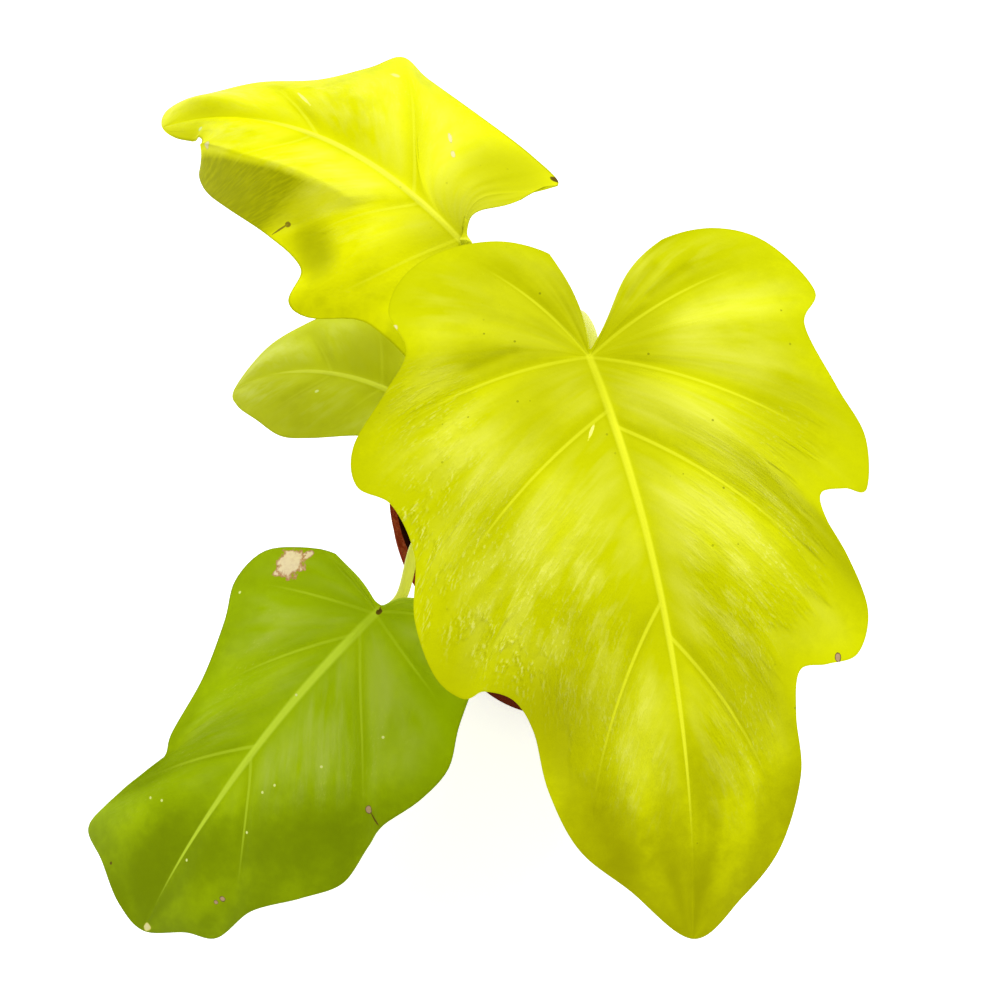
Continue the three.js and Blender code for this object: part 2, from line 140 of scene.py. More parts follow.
class Graph:
    """The node graph of one material, ending in one Principled surface."""

    def __init__(self, name: str) -> None:
        """Starts an empty material.

        Args:
            name: The material's name.
        """
        self.material = bpy.data.materials.new(name)
        self.material.use_nodes = True
        self.material.node_tree.nodes.clear()

    def node(
            self, kind: str, settings: dict | None = None, sockets: dict | None = None
    ) -> bpy.types.Node:
        """Adds a node.

        Args:
            kind: The node's type.
            settings: Its settings, set first. A ramp's are its stops, as (place, colour) pairs.
            sockets: Values, signals or sockets for its inputs, by identifier, name or number.

        Returns:
            The new node.
        """
        tree = self.material.node_tree
        node = tree.nodes.new(kind)
        for key, setting in (settings or {}).items():
            if key == "stops":
                for place, colour in setting[2:]:
                    node.color_ramp.elements.new(place)
                for element, (place, colour) in zip(node.color_ramp.elements, setting):
                    element.position = place
                    element.color = colour
            else:
                setattr(node, key, setting)
        by_identifier = {socket.identifier: socket for socket in node.inputs}
        for key, value in (sockets or {}).items():
            socket = by_identifier.get(key) or node.inputs[key]
            if isinstance(value, Signal):
                tree.links.new(value.socket, socket)
            elif isinstance(value, Socket):
                tree.links.new(value, socket)
            else:
                socket.default_value = value
        return node

    def place(self) -> Socket:
        """The point on the piece, in metres from the origin."""
        return self.node("ShaderNodeTexCoord").outputs["Object"]

    def chart(self, name: str) -> Socket:
        """The point on one of the piece's own UV maps."""
        return self.node("ShaderNodeUVMap", {"uv_map": name}).outputs["UV"]

    def trait(self, name: str) -> Signal:
        """A value that the piece's points carry."""
        node = self.node("ShaderNodeAttribute", {"attribute_name": name})
        return Signal(self, node.outputs["Fac"])

    def stretched(self, vector: Socket, scale: Row, shift: Row = (0, 0, 0)) -> Socket:
        """A vector with each of its directions scaled, then shifted."""
        sockets = {"Vector": vector, "Scale": scale, "Location": shift}
        return self.node("ShaderNodeMapping", {}, sockets).outputs[0]

    def grain(
            self, vector: Socket, scale: float, detail: float = 2.0, rough: float = 0.5
    ) -> Signal:
        """Soft random grain.

        Args:
            vector: Where the grain is read.
            scale: Grains in each unit of the vector.
            detail: How many finer layers it has.
            rough: How strong the finer layers are.

        Returns:
            A value round 0.5.
        """
        sockets = {"Vector": vector, "Scale": scale, "Detail": detail, "Roughness": rough}
        return Signal(self, self.node("ShaderNodeTexNoise", {}, sockets).outputs["Fac"])

    def cells(self, vector: Socket, scale: float) -> Signal:
        """The distance to the nearest of many scattered points."""
        node = self.node("ShaderNodeTexVoronoi", {}, {"Vector": vector, "Scale": scale})
        return Signal(self, node.outputs["Distance"])

    def blend(self, share: Value, first: Socket | Colour, second: Socket | Colour) -> Socket:
        """A colour between two.

        Args:
            share: How far it is from the first to the second.
            first: The colour at 0.
            second: The colour at 1.

        Returns:
            The colour.
        """
        sockets = {"Factor_Float": share, "A_Color": first, "B_Color": second}
        node = self.node("ShaderNodeMix", {"data_type": "RGBA", "clamp_factor": True}, sockets)
        return next(socket for socket in node.outputs if socket.identifier == "Result_Color")

    def ramp(self, value: Signal, *stops: tuple[float, Colour]) -> Socket:
        """A colour read from a ramp of (place, colour) stops."""
        return self.node("ShaderNodeValToRGB", {"stops": stops}, {"Fac": value}).outputs["Color"]

    def relief(self, height: Signal, depth: float, under: Socket | None = None) -> Socket:
        """A normal that shows a height.

        Args:
            height: The height, from 0 to 1.
            depth: What a height of 1 stands for, in metres.
            under: A normal that it is added to.

        Returns:
            The normal.
        """
        sockets = {"Height": height, "Distance": depth, "Strength": 1.0}
        if under is not None:
            sockets["Normal"] = under
        return self.node("ShaderNodeBump", {}, sockets).outputs["Normal"]

    def surface(self, **sockets: object) -> bpy.types.Material:
        """Ends the graph in a Principled surface.

        Args:
            sockets: Values of the shader's inputs, with _ for each space in their names.

        Returns:
            The finished material.
        """
        named = {key.replace("_", " "): value for key, value in sockets.items()}
        shader = self.node("ShaderNodeBsdfPrincipled", {}, named)
        self.node("ShaderNodeOutputMaterial", {}, {"Surface": shader.outputs[0]})
        return self.material


# Modelling steps that the pieces share


class Bench:
    """Steps on the piece in hand."""

    @staticmethod
    def clear() -> None:
        """Deselects everything, so that an operator acts only on what is added next."""
        bpy.ops.object.select_all(action="DESELECT")

    @staticmethod
    def take(name: str) -> bpy.types.Object:
        """Names the primitive that was just added.

        Args:
            name: Its name.

        Returns:
            The primitive.
        """
        piece = bpy.context.object
        piece.name = name
        piece.data.name = name
        return piece

    @staticmethod
    @contextmanager
    def editing(piece: bpy.types.Object) -> Iterator[None]:
        """Edit mode on a piece, with all of it selected.

        Args:
            piece: The piece to edit.

        Yields:
            Nothing.
        """
        Bench.clear()
        piece.select_set(True)
        bpy.context.view_layer.objects.active = piece
        bpy.ops.object.mode_set(mode="EDIT")
        bpy.ops.mesh.select_all(action="SELECT")
        yield
        bpy.ops.object.mode_set(mode="OBJECT")

    @staticmethod
    def points(piece: bpy.types.Object) -> np.ndarray:
        """The piece's points.

        Args:
            piece: The piece.

        Returns:
            A row of x, y, z for each.
        """
        flat = np.empty(len(piece.data.vertices) * 3)
        piece.data.vertices.foreach_get("co", flat)
        return flat.reshape(-1, 3)

    @staticmethod
    def shape(piece: bpy.types.Object, points: np.ndarray) -> None:
        """Moves the piece's points."""
        piece.data.vertices.foreach_set("co", np.ascontiguousarray(points, float).ravel())
        piece.data.update()

    @staticmethod
    def trait(piece: bpy.types.Object, name: str, values: np.ndarray) -> None:
        """Gives each point a value that a material can read."""
        layer = piece.data.attributes.new(name, "FLOAT", "POINT")
        layer.data.foreach_set("value", np.ascontiguousarray(values, np.float32))

    @staticmethod
    def chart(piece: bpy.types.Object, name: str, spots: np.ndarray) -> None:
        """Adds a UV map with one spot for each point.

        Args:
            piece: The piece.
            name: The map's name.
            spots: The map's two coordinates of each point.
        """
        corners = np.empty(len(piece.data.loops), int)
        piece.data.loops.foreach_get("vertex_index", corners)
        layer = piece.data.uv_layers.new(name=name)
        layer.data.foreach_set("uv", np.ascontiguousarray(spots[corners], np.float32).ravel())

    @staticmethod
    def applied(piece: bpy.types.Object, kind: str, **settings: object) -> None:
        """Adds a modifier and applies it.

        Args:
            piece: The piece that it works on.
            kind: The modifier's type.
            settings: Its settings.
        """
        modifier = piece.modifiers.new(kind.title(), kind)
        for key, setting in settings.items():
            setattr(modifier, key, setting)
        bpy.context.view_layer.objects.active = piece
        bpy.ops.object.modifier_apply(modifier=modifier.name)

    @staticmethod
    def smooth(piece: bpy.types.Object, degrees: float) -> None:
        """Shades the piece smooth, with edges kept where its faces turn by more than an angle.

        Args:
            piece: The piece.
            degrees: The angle.
        """
        Bench.clear()
        piece.select_set(True)
        bpy.context.view_layer.objects.active = piece
        bpy.ops.object.shade_smooth_by_angle(angle=math.radians(degrees))

    @staticmethod
    def settle(piece: bpy.types.Object, node: str, slot: str, *materials: bpy.types.Material) -> None:
        """Dresses a finished piece and puts it in the place of its node.

        Args:
            piece: The piece.
            node: The frame's node that it stands for.
            slot: The record's material slot. It is not used.
            materials: Its materials, in the order of its slots.
        """
        piece.data.materials.clear()
        for material in materials:
            piece.data.materials.append(material)
        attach(piece, BODY)
        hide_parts(node)
        LOG.info("%s: %d faces", piece.name, len(piece.data.polygons))


# Finishes


class SpotKind(Enum):
    """What a blemish on a blade looks like: its middle and its rim. A glint is a painted highlight."""

    DRIED = (tone(246, 228, 184), tone(190, 140, 88))
    SCAR = (tone(232, 226, 160), tone(214, 208, 80))
    CRACK = (tone(142, 126, 30), tone(168, 162, 14))
    BROWN = (tone(190, 160, 120), tone(92, 62, 26))
    CALLUS = (tone(96, 76, 18), tone(120, 112, 14))
    SPECK = (tone(226, 236, 150), tone(196, 212, 70))
    # A painted highlight, laid on the blade like a mark
    GLINT = (tone(250, 250, 130), tone(238, 240, 60))


@dataclass(frozen=True)
class Blemish:
    """A mark on a blade's flat sheet: its centre and half sizes in millimetres, its turn in degrees."""

    kind: SpotKind
    x: float
    y: float
    length: float
    width: float
    turn: float = 0.0
    ragged: float = 1.1


class LeafGraph(Graph):
    """A graph that starts with the traits and the grains that a blade's upper face is painted from."""

    def __init__(self, name: str, sheen_end: float) -> None:
        """Adds the traits and the grains.

        Args:
            name: The material's name.
            sheen_end: The share of the blade's length at which its sheen ends.
        """
        super().__init__(name)
        self.rays, self.spot = self.chart("rays"), self.place()
        self.along, self.outward = self.trait("along"), self.trait("outward")
        self.margin, self.hub = self.trait("margin"), self.trait("hub")
        # fall sets where the painted sheen ends and the painted tip shade starts; clear is where the
        # painted sheen may lie
        self.fall, self.clear = self.trait("fall"), self.trait("clear")
        self.broad = self.veined((46, 3.6, 1), 2.0, 0.5)
        self.fine = self.veined((240, 9, 1), 2.0, 0.55)
        self.drift = self.veined((10, 2.2, 1), 1.0, 0.5)
        self.wrinkle = self.veined((300, 42, 1), 3.0, 0.6)
        self.pucker = self.puckered((0, 0, 0))
        self.cloud = self.grain(self.spot, 26.0, 1.0, 0.5)
        pebble = self.grain(self.spot, 260, 3.0, 0.6) - 0.5
        self.lightness = (self.drift - 0.5) + (self.cloud - 0.5) + pebble * 0.45
        # brushed is the zone of the painted strokes of light, and of their bump relief
        ragged_end = (self.outward + (self.broad - 0.5) * 0.5).eased(0.84, 0.7)
        lasting = self.fall.eased(sheen_end + 0.06, sheen_end - 0.14)
        self.brushed = self.outward.eased(0.1, 0.35) * ragged_end * self.along.eased(0.06, 0.3) * lasting
        # crinkled places the painted light and shade of the crinkles, and their bump relief
        cluster = self.veined((70, 11, 1), 2.0, 0.6)
        self.crinkled = self.trait("crinkle") * cluster.eased(0.42, 0.62)

    def veined(self, scale: Row, detail: float, rough: float, shift: Row = (0, 0, 0)) -> Signal:
        """Grain that runs out along the veins.

        Args:
            scale: Grains over the whole fan of rays, and from the midrib to the margin.
            detail: How many finer layers it has.
            rough: How strong the finer layers are.
            shift: How far it is shifted, in grains.

        Returns:
            A value round 0.5.
        """
        return self.grain(self.stretched(self.rays, scale, shift), 1.0, detail, rough)

    def puckered(self, shift: Row) -> Signal:
        """The grain of the crinkles, shifted by so many grains."""
        return self.veined((210, 23, 1), 4.0, 0.6, shift)


@dataclass(frozen=True)
class LeafFinish:
    """The colours of a blade, and how its painted light and shade are spread.

    The shade colour is laid on as painted shade toward the tip, along the margin and its rim, round the
    junction, in the vein hollows, on the fold and in each patch, and is also one of the underside's own
    tones. The gleam, glint and crest colours are painted sheen and highlights, and the strokes set the
    painted strokes of light and their relief. The midrib's width is half of it, in millimetres. The sheen's
    end and the midrib's end are shares of the blade's length. The slant is how far the sheen's end and the
    painted shade of the tip lie nearer for each step to the leaf's left. A patch is (x, y, radius, how much
    it dulls the painted sheen, how much painted shade it adds), and a crinkle is (x, y, radius, strength)
    of painted light and shade over small puckered bumps.
    """

    body: Colour
    bright: Colour
    shade: Colour
    # gleam is the colour of the painted sheen
    gleam: Colour
    vein: Colour
    midrib: Colour
    back: Colour
    tip_shade: float
    edge_shade: float
    rim_shade: float
    strokes: float
    sheen: float
    specks: float
    vein_strength: float
    gloss: float
    midrib_width: float
    midrib_end: float
    hub_shade: float
    sheen_end: float
    slant: float = 0.0
    # glint and crest are colours of painted highlights; speck is the colour of the blade's own dark specks
    glint: Colour = tone(244, 247, 110)
    crest: Colour = tone(246, 248, 120)
    speck: Colour = tone(120, 122, 8)
    sheen_and_shade_patches: tuple[Row, ...] = ()
    crinkles: tuple[Row, ...] = ()
    blemishes: tuple[Blemish, ...] = ()

    def face(self, name: str) -> bpy.types.Material:
        """The upper face: painted sheen and highlights along the veins, painted shade darker to the tip,
        with ribs and blemishes.

        Args:
            name: The material's name.

        Returns:
            The material.
        """
        graph = LeafGraph(name, self.sheen_end)
        colour = graph.blend(graph.lightness.eased(-0.05, 0.3), self.body, self.bright)
        for layer in (self.sheened, self.crinkled, self.shaded, self.ribbed, self.blemished):
            colour = layer(graph, colour)
        brushed, tissue = graph.brushed * self.strokes, graph.grain(graph.spot, 900, 2.0, 0.6)
        folds = (graph.broad + graph.wrinkle * 0.4) * brushed + graph.pucker * graph.crinkled
        normal = graph.relief(graph.fine * brushed + tissue * 0.3, 0.0002)
        normal = graph.relief(folds, 0.0005, normal)
        rough = 0.42 - (graph.fine - 0.5) * 0.2 + (graph.cloud - 0.5) * 0.3
        return graph.surface(
            Base_Color=colour, Roughness=rough, Normal=normal, Specular_IOR_Level=self.gloss)

    def sheened(self, graph: LeafGraph, colour: Socket) -> Socket:
        """Lays on the painted sheen between the veins, and the painted strokes of light and painted glints
        along them.

        Args:
            graph: The material's graph.
            colour: The colour under them.

        Returns:
            The colour with them.
        """
        crisp = graph.fine.eased(0.52, 0.6) * 0.6 * graph.broad.eased(0.4, 0.54)
        stroke = (graph.broad.eased(0.48, 0.6) * 0.3 + crisp) * (self.strokes * 0.75) * graph.brushed
        lasting = graph.fall.eased(self.sheen_end, self.sheen_end - 0.16)
        airy = graph.clear * graph.outward.eased(1.0, 0.66) * lasting
        uneven = (graph.cloud - 0.5) * 1.2 + (graph.broad - 0.5) * 1.6 + (graph.drift - 0.5)
        shine = airy * (uneven + self.sheen) + stroke * (graph.clear * 0.7 + 0.3)
        colour = graph.blend(shine, colour, self.gleam)
        glint = graph.wrinkle.eased(0.57, 0.64) * graph.brushed
        glint = glint * graph.outward.eased(0.3, 0.6) * graph.broad.eased(0.4, 0.6)
        return graph.blend(glint * self.strokes * 0.6, colour, self.glint)

    def crinkled(self, graph: LeafGraph, colour: Socket) -> Socket:
        """Lays painted light and shade on the crinkles, lit on one side and shaded on the other.

        Args:
            graph: The material's graph.
            colour: The colour under them.

        Returns:
            The colour with them.
        """
        lit = graph.pucker - graph.puckered((0.3, 0.2, 0))
        colour = graph.blend(lit.eased(-0.03, -0.11) * graph.crinkled * 0.5, colour, self.shade)
        # crest is the colour of the painted highlight on the crinkles' lit side
        return graph.blend(lit.eased(0.03, 0.11) * graph.crinkled * 0.75, colour, self.crest)

    def shaded(self, graph: LeafGraph, colour: Socket) -> Socket:
        """Lays painted shade where each patch lies, toward the tip, along the margin, in the hollows, round
        the junction, on the fold and on the rim.

        Args:
            graph: The material's graph.
            colour: The colour under the shade.

        Returns:
            The darkened colour.
        """
        # Each share below blends toward the shade colour as painted shade, but for the lightness term,
        # which is the blade's own uneven tone; the fine term paints dark strokes among the painted strokes
        # of light
        outer = graph.margin.eased(17, 6) * graph.along.eased(0.0, 0.3) * self.edge_shade
        tip = graph.fall.eased(self.sheen_end - 0.25, self.sheen_end + 0.12) * self.tip_shade
        dark = tip.largest(outer) + (graph.fine - 0.5) * graph.brushed * 0.35 * self.strokes
        shares = (
            graph.trait("patch"),
            (dark + graph.lightness * -0.9).eased(0.0, 1.0),
            graph.trait("hollow") * 0.35,
            graph.hub.eased(0.22, 0.03) * self.hub_shade,
            graph.trait("turned") * (0.9 - (graph.fine - 0.5) * 0.9),
            graph.margin.eased(0.9, 0.1) * graph.along.eased(0.98, 0.9) * self.rim_shade)
        for share in shares:
            colour = graph.blend(share, colour, self.shade)
        return colour

    def ribbed(self, graph: LeafGraph, colour: Socket) -> Socket:
        """Lays on the pale veins and the midrib, which are weaker near the junction.

        Args:
            graph: The material's graph.
            colour: The colour under them.

        Returns:
            The colour with them.
        """
        line = graph.trait("vein").eased(1.15, 0.3) * graph.outward.eased(0.82, 0.35) * self.vein_strength
        colour = graph.blend(line * (graph.hub.eased(0.02, 0.22) * 0.6 + 0.4), colour, self.vein)
        lasting = graph.along.eased(self.midrib_end, self.midrib_end - 0.2)
        spine = graph.trait("rib").eased(1.3, 0.45) * lasting
        return graph.blend(spine * (graph.hub.eased(0.03, 0.15) * 0.5 + 0.5), colour, self.midrib)

    def blemished(self, graph: LeafGraph, colour: Socket) -> Socket:
        """Sprinkles on dark specks, and lays on the blemishes.

        Args:
            graph: The material's graph.
            colour: The colour under them.

        Returns:
            The colour with them.
        """
        speck = graph.cells(graph.spot, 170).eased(0.08, 0.05) * graph.cloud.eased(0.5, 0.6)
        colour = graph.blend(speck * self.specks, colour, self.speck)
        ragged = graph.grain(graph.spot, 420, 3.0, 0.6) - 0.5
        mottle = (graph.grain(graph.spot, 700) - 0.45) * 0.7
        for blemish in self.blemishes:
            colour = self.marked(graph, colour, blemish, ragged, mottle)
        return colour

    def marked(
            self, graph: Graph, colour: Socket, mark: Blemish, ragged: Signal, mottle: Signal
    ) -> Socket:
        """Lays one ragged blemish over a colour.

        Args:
            graph: The material's graph.
            colour: The colour under it.
            mark: The blemish.
            ragged: How its outline wanders.
            mottle: How its rim's colour spreads into its middle.

        Returns:
            The colour with the blemish.
        """
        middle, rim = mark.kind.value
        sockets = {
            "Vector": graph.chart("flat"),
            "Location": (mark.x / FLAT_UNIT, mark.y / FLAT_UNIT, 0),
            "Rotation": (0, 0, math.radians(mark.turn)),
            "Scale": (mark.length / FLAT_UNIT, mark.width / FLAT_UNIT, 1)}
        local = graph.node("ShaderNodeMapping", {"vector_type": "TEXTURE"}, sockets).outputs[0]
        length = graph.node("ShaderNodeVectorMath", {"operation": "LENGTH"}, {0: local})
        reach = Signal(graph, length.outputs["Value"]) + ragged * mark.ragged
        inside = graph.blend(reach.eased(0.66, 1.0) + mottle, middle, rim)
        return graph.blend(reach.eased(1.1, 0.95), colour, inside)

    def underside(self, name: str) -> bpy.types.Material:
        """The lower face: paler and duller, with the same ribs.

        Args:
            name: The material's name.

        Returns:
            The material.
        """
        graph = Graph(name)
        streak = graph.grain(graph.stretched(graph.chart("rays"), (120, 5, 1)), 1.0, 2.0, 0.5)
        cloud = graph.grain(graph.place(), 30.0)
        colour = graph.blend((streak - 0.5) * 0.5 + cloud, self.shade, self.back)
        line = graph.trait("vein").eased(1.8, 0.4) * graph.trait("outward").eased(0.95, 0.5)
        colour = graph.blend(line * 0.6, colour, self.vein)
        colour = graph.blend(graph.trait("rib").eased(1.6, 0.9), colour, self.midrib)
        normal = graph.relief(streak, 0.0002)
        return graph.surface(
            Base_Color=colour, Roughness=0.6, Normal=normal, Specular_IOR_Level=self.gloss)


@dataclass(frozen=True)
class StalkFinish:
    """A smooth green or yellow stalk, its base and its top."""

    body: Colour
    base: Colour
    top: Colour
    streak: Colour

    def material(self, name: str) -> bpy.types.Material:
        """Long faint streaks, paler at the sheathing base, tinged at the top.

        Args:
            name: The material's name.

        Returns:
            The material.
        """
        graph = Graph(name)
        fibre = graph.grain(graph.stretched(graph.chart("wrap"), (26, 3, 1)), 1.0, 3.0, 0.6)
        cloud = graph.grain(graph.place(), 90)
        along = graph.trait("along")
        colour = graph.blend((fibre - 0.35) * 1.4, self.body, self.streak)
        colour = graph.blend(along.eased(0.22, 0.02), colour, self.base)
        colour = graph.blend(along.eased(0.93, 1.0) * 0.8 + (cloud - 0.5) * 0.3, colour, self.top)
        normal = graph.relief(fibre, 0.0001)
        return graph.surface(Base_Color=colour, Roughness=0.45, Normal=normal, Specular_IOR_Level=0.2)


@dataclass(frozen=True)
class BarkFinish:
    """The short stem's ringed skin."""

    green: Colour = tone(136, 138, 62)
    brown: Colour = tone(104, 78, 44)
    ring: Colour = tone(74, 56, 34)

    def material(self, name: str) -> bpy.types.Material:
        """Green skin that browns in patches, with corky rings.

        Args:
            name: The material's name.

        Returns:
            The material.
        """
        graph = Graph(name)
        spot = graph.grain(graph.place(), 240, 4.0, 0.65)
        stretch = graph.grain(graph.stretched(graph.place(), (900, 900, 160)), 1.0, 3.0, 0.6)
        colour = graph.blend(spot.eased(0.42, 0.64), self.green, self.brown)
        colour = graph.blend(graph.trait("ring").eased(0.55, 0.95) * 0.85, colour, self.ring)
        normal = graph.relief(stretch + spot, 0.0006)
        return graph.surface(Base_Color=colour, Roughness=0.68, Normal=normal)


@dataclass(frozen=True)
class SoilFinish:
    """Moist peat and bark."""

    peat: Colour = tone(42, 29, 21)
    dry: Colour = tone(88, 64, 46)
    bark: Colour = tone(112, 78, 50)

    def material(self, name: str) -> bpy.types.Material:
        """Dark crumbs with drier tops and flecks of bark.

        Args:
            name: The material's name.

        Returns:
            The material.
        """
        graph = Graph(name)
        crumb = graph.grain(graph.place(), 420, 6.0, 0.7)
        patch = graph.grain(graph.place(), 60, 3.0, 0.6)
        colour = graph.ramp(crumb, (0.3, tone(20, 13, 9)), (0.5, self.peat), (0.68, self.dry))
        fleck = graph.cells(graph.place(), 260).eased(0.3, 0.16) * patch.eased(0.5, 0.6)
        colour = graph.blend(fleck * 0.8 + graph.trait("bark") * 0.7, colour, self.bark)
        normal = graph.relief(crumb, 0.0016)
        return graph.surface(Base_Color=colour, Roughness=0.9, Normal=normal)


@dataclass(frozen=True)
class PotFinish:
    """Thin moulded terracotta-red plastic."""

    body: Colour = tone(140, 50, 27)
    deep: Colour = tone(112, 38, 19)
    scuff: Colour = tone(156, 78, 54)
    # Colour of the dark coat inside, partly soil and partly painted shade
    smear_and_shade: Colour = tone(20, 10, 6)
    # Colour of the painted shade on the wall below the band
    wall: Colour = tone(84, 32, 17)

    def material(self, name: str) -> bpy.types.Material:
        """Satin plastic with mould flow and scuffed edges, painted shade on the wall below the band, and a
        dark coat up inside that is partly soil and partly painted shade.

        Args:
            name: The material's name.

        Returns:
            The material.
        """
        graph = Graph(name)
        flow = graph.grain(graph.stretched(graph.place(), (60, 60, 9)), 1.0, 3.0, 0.55)
        fine = graph.grain(graph.place(), 1500, 2.0, 0.6)
        scratch = graph.grain(graph.stretched(graph.place(), (700, 700, 70)), 1.0, 4.0, 0.7)
        colour = graph.blend(flow.eased(0.3, 0.7), self.deep, self.body)
        # Painted shade: the wall below the band is darkened toward the wall colour
        colour = graph.blend(graph.trait("below") * (0.95 - (flow - 0.5) * 0.5), colour, self.wall)
        wear = graph.trait("wear") * scratch.eased(0.42, 0.62) + scratch.eased(0.68, 0.76) * 0.2
        colour = graph.blend(wear * 0.7, colour, self.scuff)
        # A dark coat up the inside, partly soil and partly painted shade; it also roughens the plastic
        smear_and_shade_mask = graph.trait("inside") * graph.grain(graph.place(), 130, 5.0, 0.7).eased(0.15, 0.4)
        colour = graph.blend(smear_and_shade_mask * 0.95, colour, self.smear_and_shade)
        normal = graph.relief(fine * 0.5 + scratch * 0.6, 0.0002)
        rough = 0.4 + (flow - 0.5) * 0.25 + wear * 0.25 + smear_and_shade_mask * 0.3
        return graph.surface(
            Base_Color=colour, Roughness=rough, Normal=normal, Specular_IOR_Level=0.0)


# Blades


@dataclass(frozen=True)
class HalfBlade:
    """One half of a blade.

    Outline rows are (x, y, lift). The first only steers the curve, the second is where the ear turns away
    from the sinus, and the rest run round to the tip. The sinus values are its margin's swing into the
    blade in one sweep and in an S, its raise, and how many veins swing with it. A vein row is (rows past
    the second that it runs to, x where it leaves the midrib). The plain veins are those next to the sinus
    that don't show.

    A fold is the y where the sheet turns down, and the x along the margin where that starts and stops. Its
    painted shade starts at an x, further along by a share of y, and deepens over a width. Its line is how
    far past the fold that painted shade starts, and over what distance it comes in. A crease runs from one
    x, y to another. Creases and dimples also lay painted shade in their hollows. A dimple row is (x, y,
    half length, half width, turn in degrees, depth).
    """

    sinus: tuple[float, float, float, float]
    outline: tuple[Row, ...]
    veins: tuple[tuple[float, float], ...]
    fold: tuple[float, float, float] | None = None
    creases: tuple[Row, ...] = ()
    dimples: tuple[Row, ...] = ()
    plain_veins: int = 0
    vein_reach: float = 0.8
    fold_ramp: float = 5.0
    fold_shade: tuple[float, float, float] = (0.0, 0.0, 1.0)
    fold_line: tuple[float, float] = (0.5, 1.3)
    fold_power: float = 1.0
    crease_depth: float = 0.4
    crease_width: float = 1.7

    def margin(self, position: np.ndarray, beyond: Row) -> np.ndarray:
        """The smooth outline at positions counted in rows from the second.

        Args:
            position: The positions.
            beyond: The row that comes after the tip, on the other half.

        Returns:
            An x, y, lift row for each.
        """
        rows = np.vstack([np.array(self.outline, float), beyond])
        start = np.clip(position.astype(int), 0, len(rows) - 4)
        u = (position - start)[:, None]
        a, b, c, d = (rows[start + step] for step in range(4))
        square = 2 * a - 5 * b + 4 * c - d
        cube = 3 * b - a - 3 * c + d
        return b + ((c - a) * u + square * u**2 + cube * u**3) / 2

    def bent(
            self, outward: np.ndarray, y: np.ndarray, edge_x: np.ndarray, edge_y: np.ndarray
    ) -> np.ndarray:
        """The share of the margin's lift that each point has.

        Args:
            outward: Shares of the way from the midrib to the margin.
            y: Distances to the leaf's left.
            edge_x: Where the points' rays meet the margin, along the midrib.
            edge_y: Where they meet it, to the leaf's left.

        Returns:
            The shares.
        """
        soft = outward**2
        if self.fold is None:
            return soft
        fold_y = self.fold[0]
        sharp = np.clip((y - fold_y) / np.maximum(edge_y - fold_y, 1), 0, 1) ** self.fold_power
        return soft + (sharp - soft) * self.folded(edge_x)

    def folded(self, edge_x: np.ndarray) -> np.ndarray:
        """How much of the fold each ray has, by where along the midrib it ends."""
        _, start, stop = self.fold or (0, 0, 0)
        return np.clip(np.minimum(edge_x - start, stop - edge_x) / self.fold_ramp, 0, 1)

    def turned(self, x: np.ndarray, y: np.ndarray, edge_x: np.ndarray) -> np.ndarray:
        """How much painted shade the fold lays on each point, where it bends the sheet away.

        Args:
            x: Distances along the midrib.
            y: Distances to the leaf's left.
            edge_x: Where the points' rays meet the margin, along the midrib.

        Returns:
            Shares from 0 to 1.
        """
        if self.fold is None:
            return np.zeros(len(y))
        start, slope, width = self.fold_shade
        past, coming = self.fold_line
        past_start = np.clip((x - start - slope * y) / width, 0, 1)
        past_fold = np.clip((y - self.fold[0] - past) / coming, 0, 1)
        return self.folded(edge_x) * past_start**1.5 * past_fold


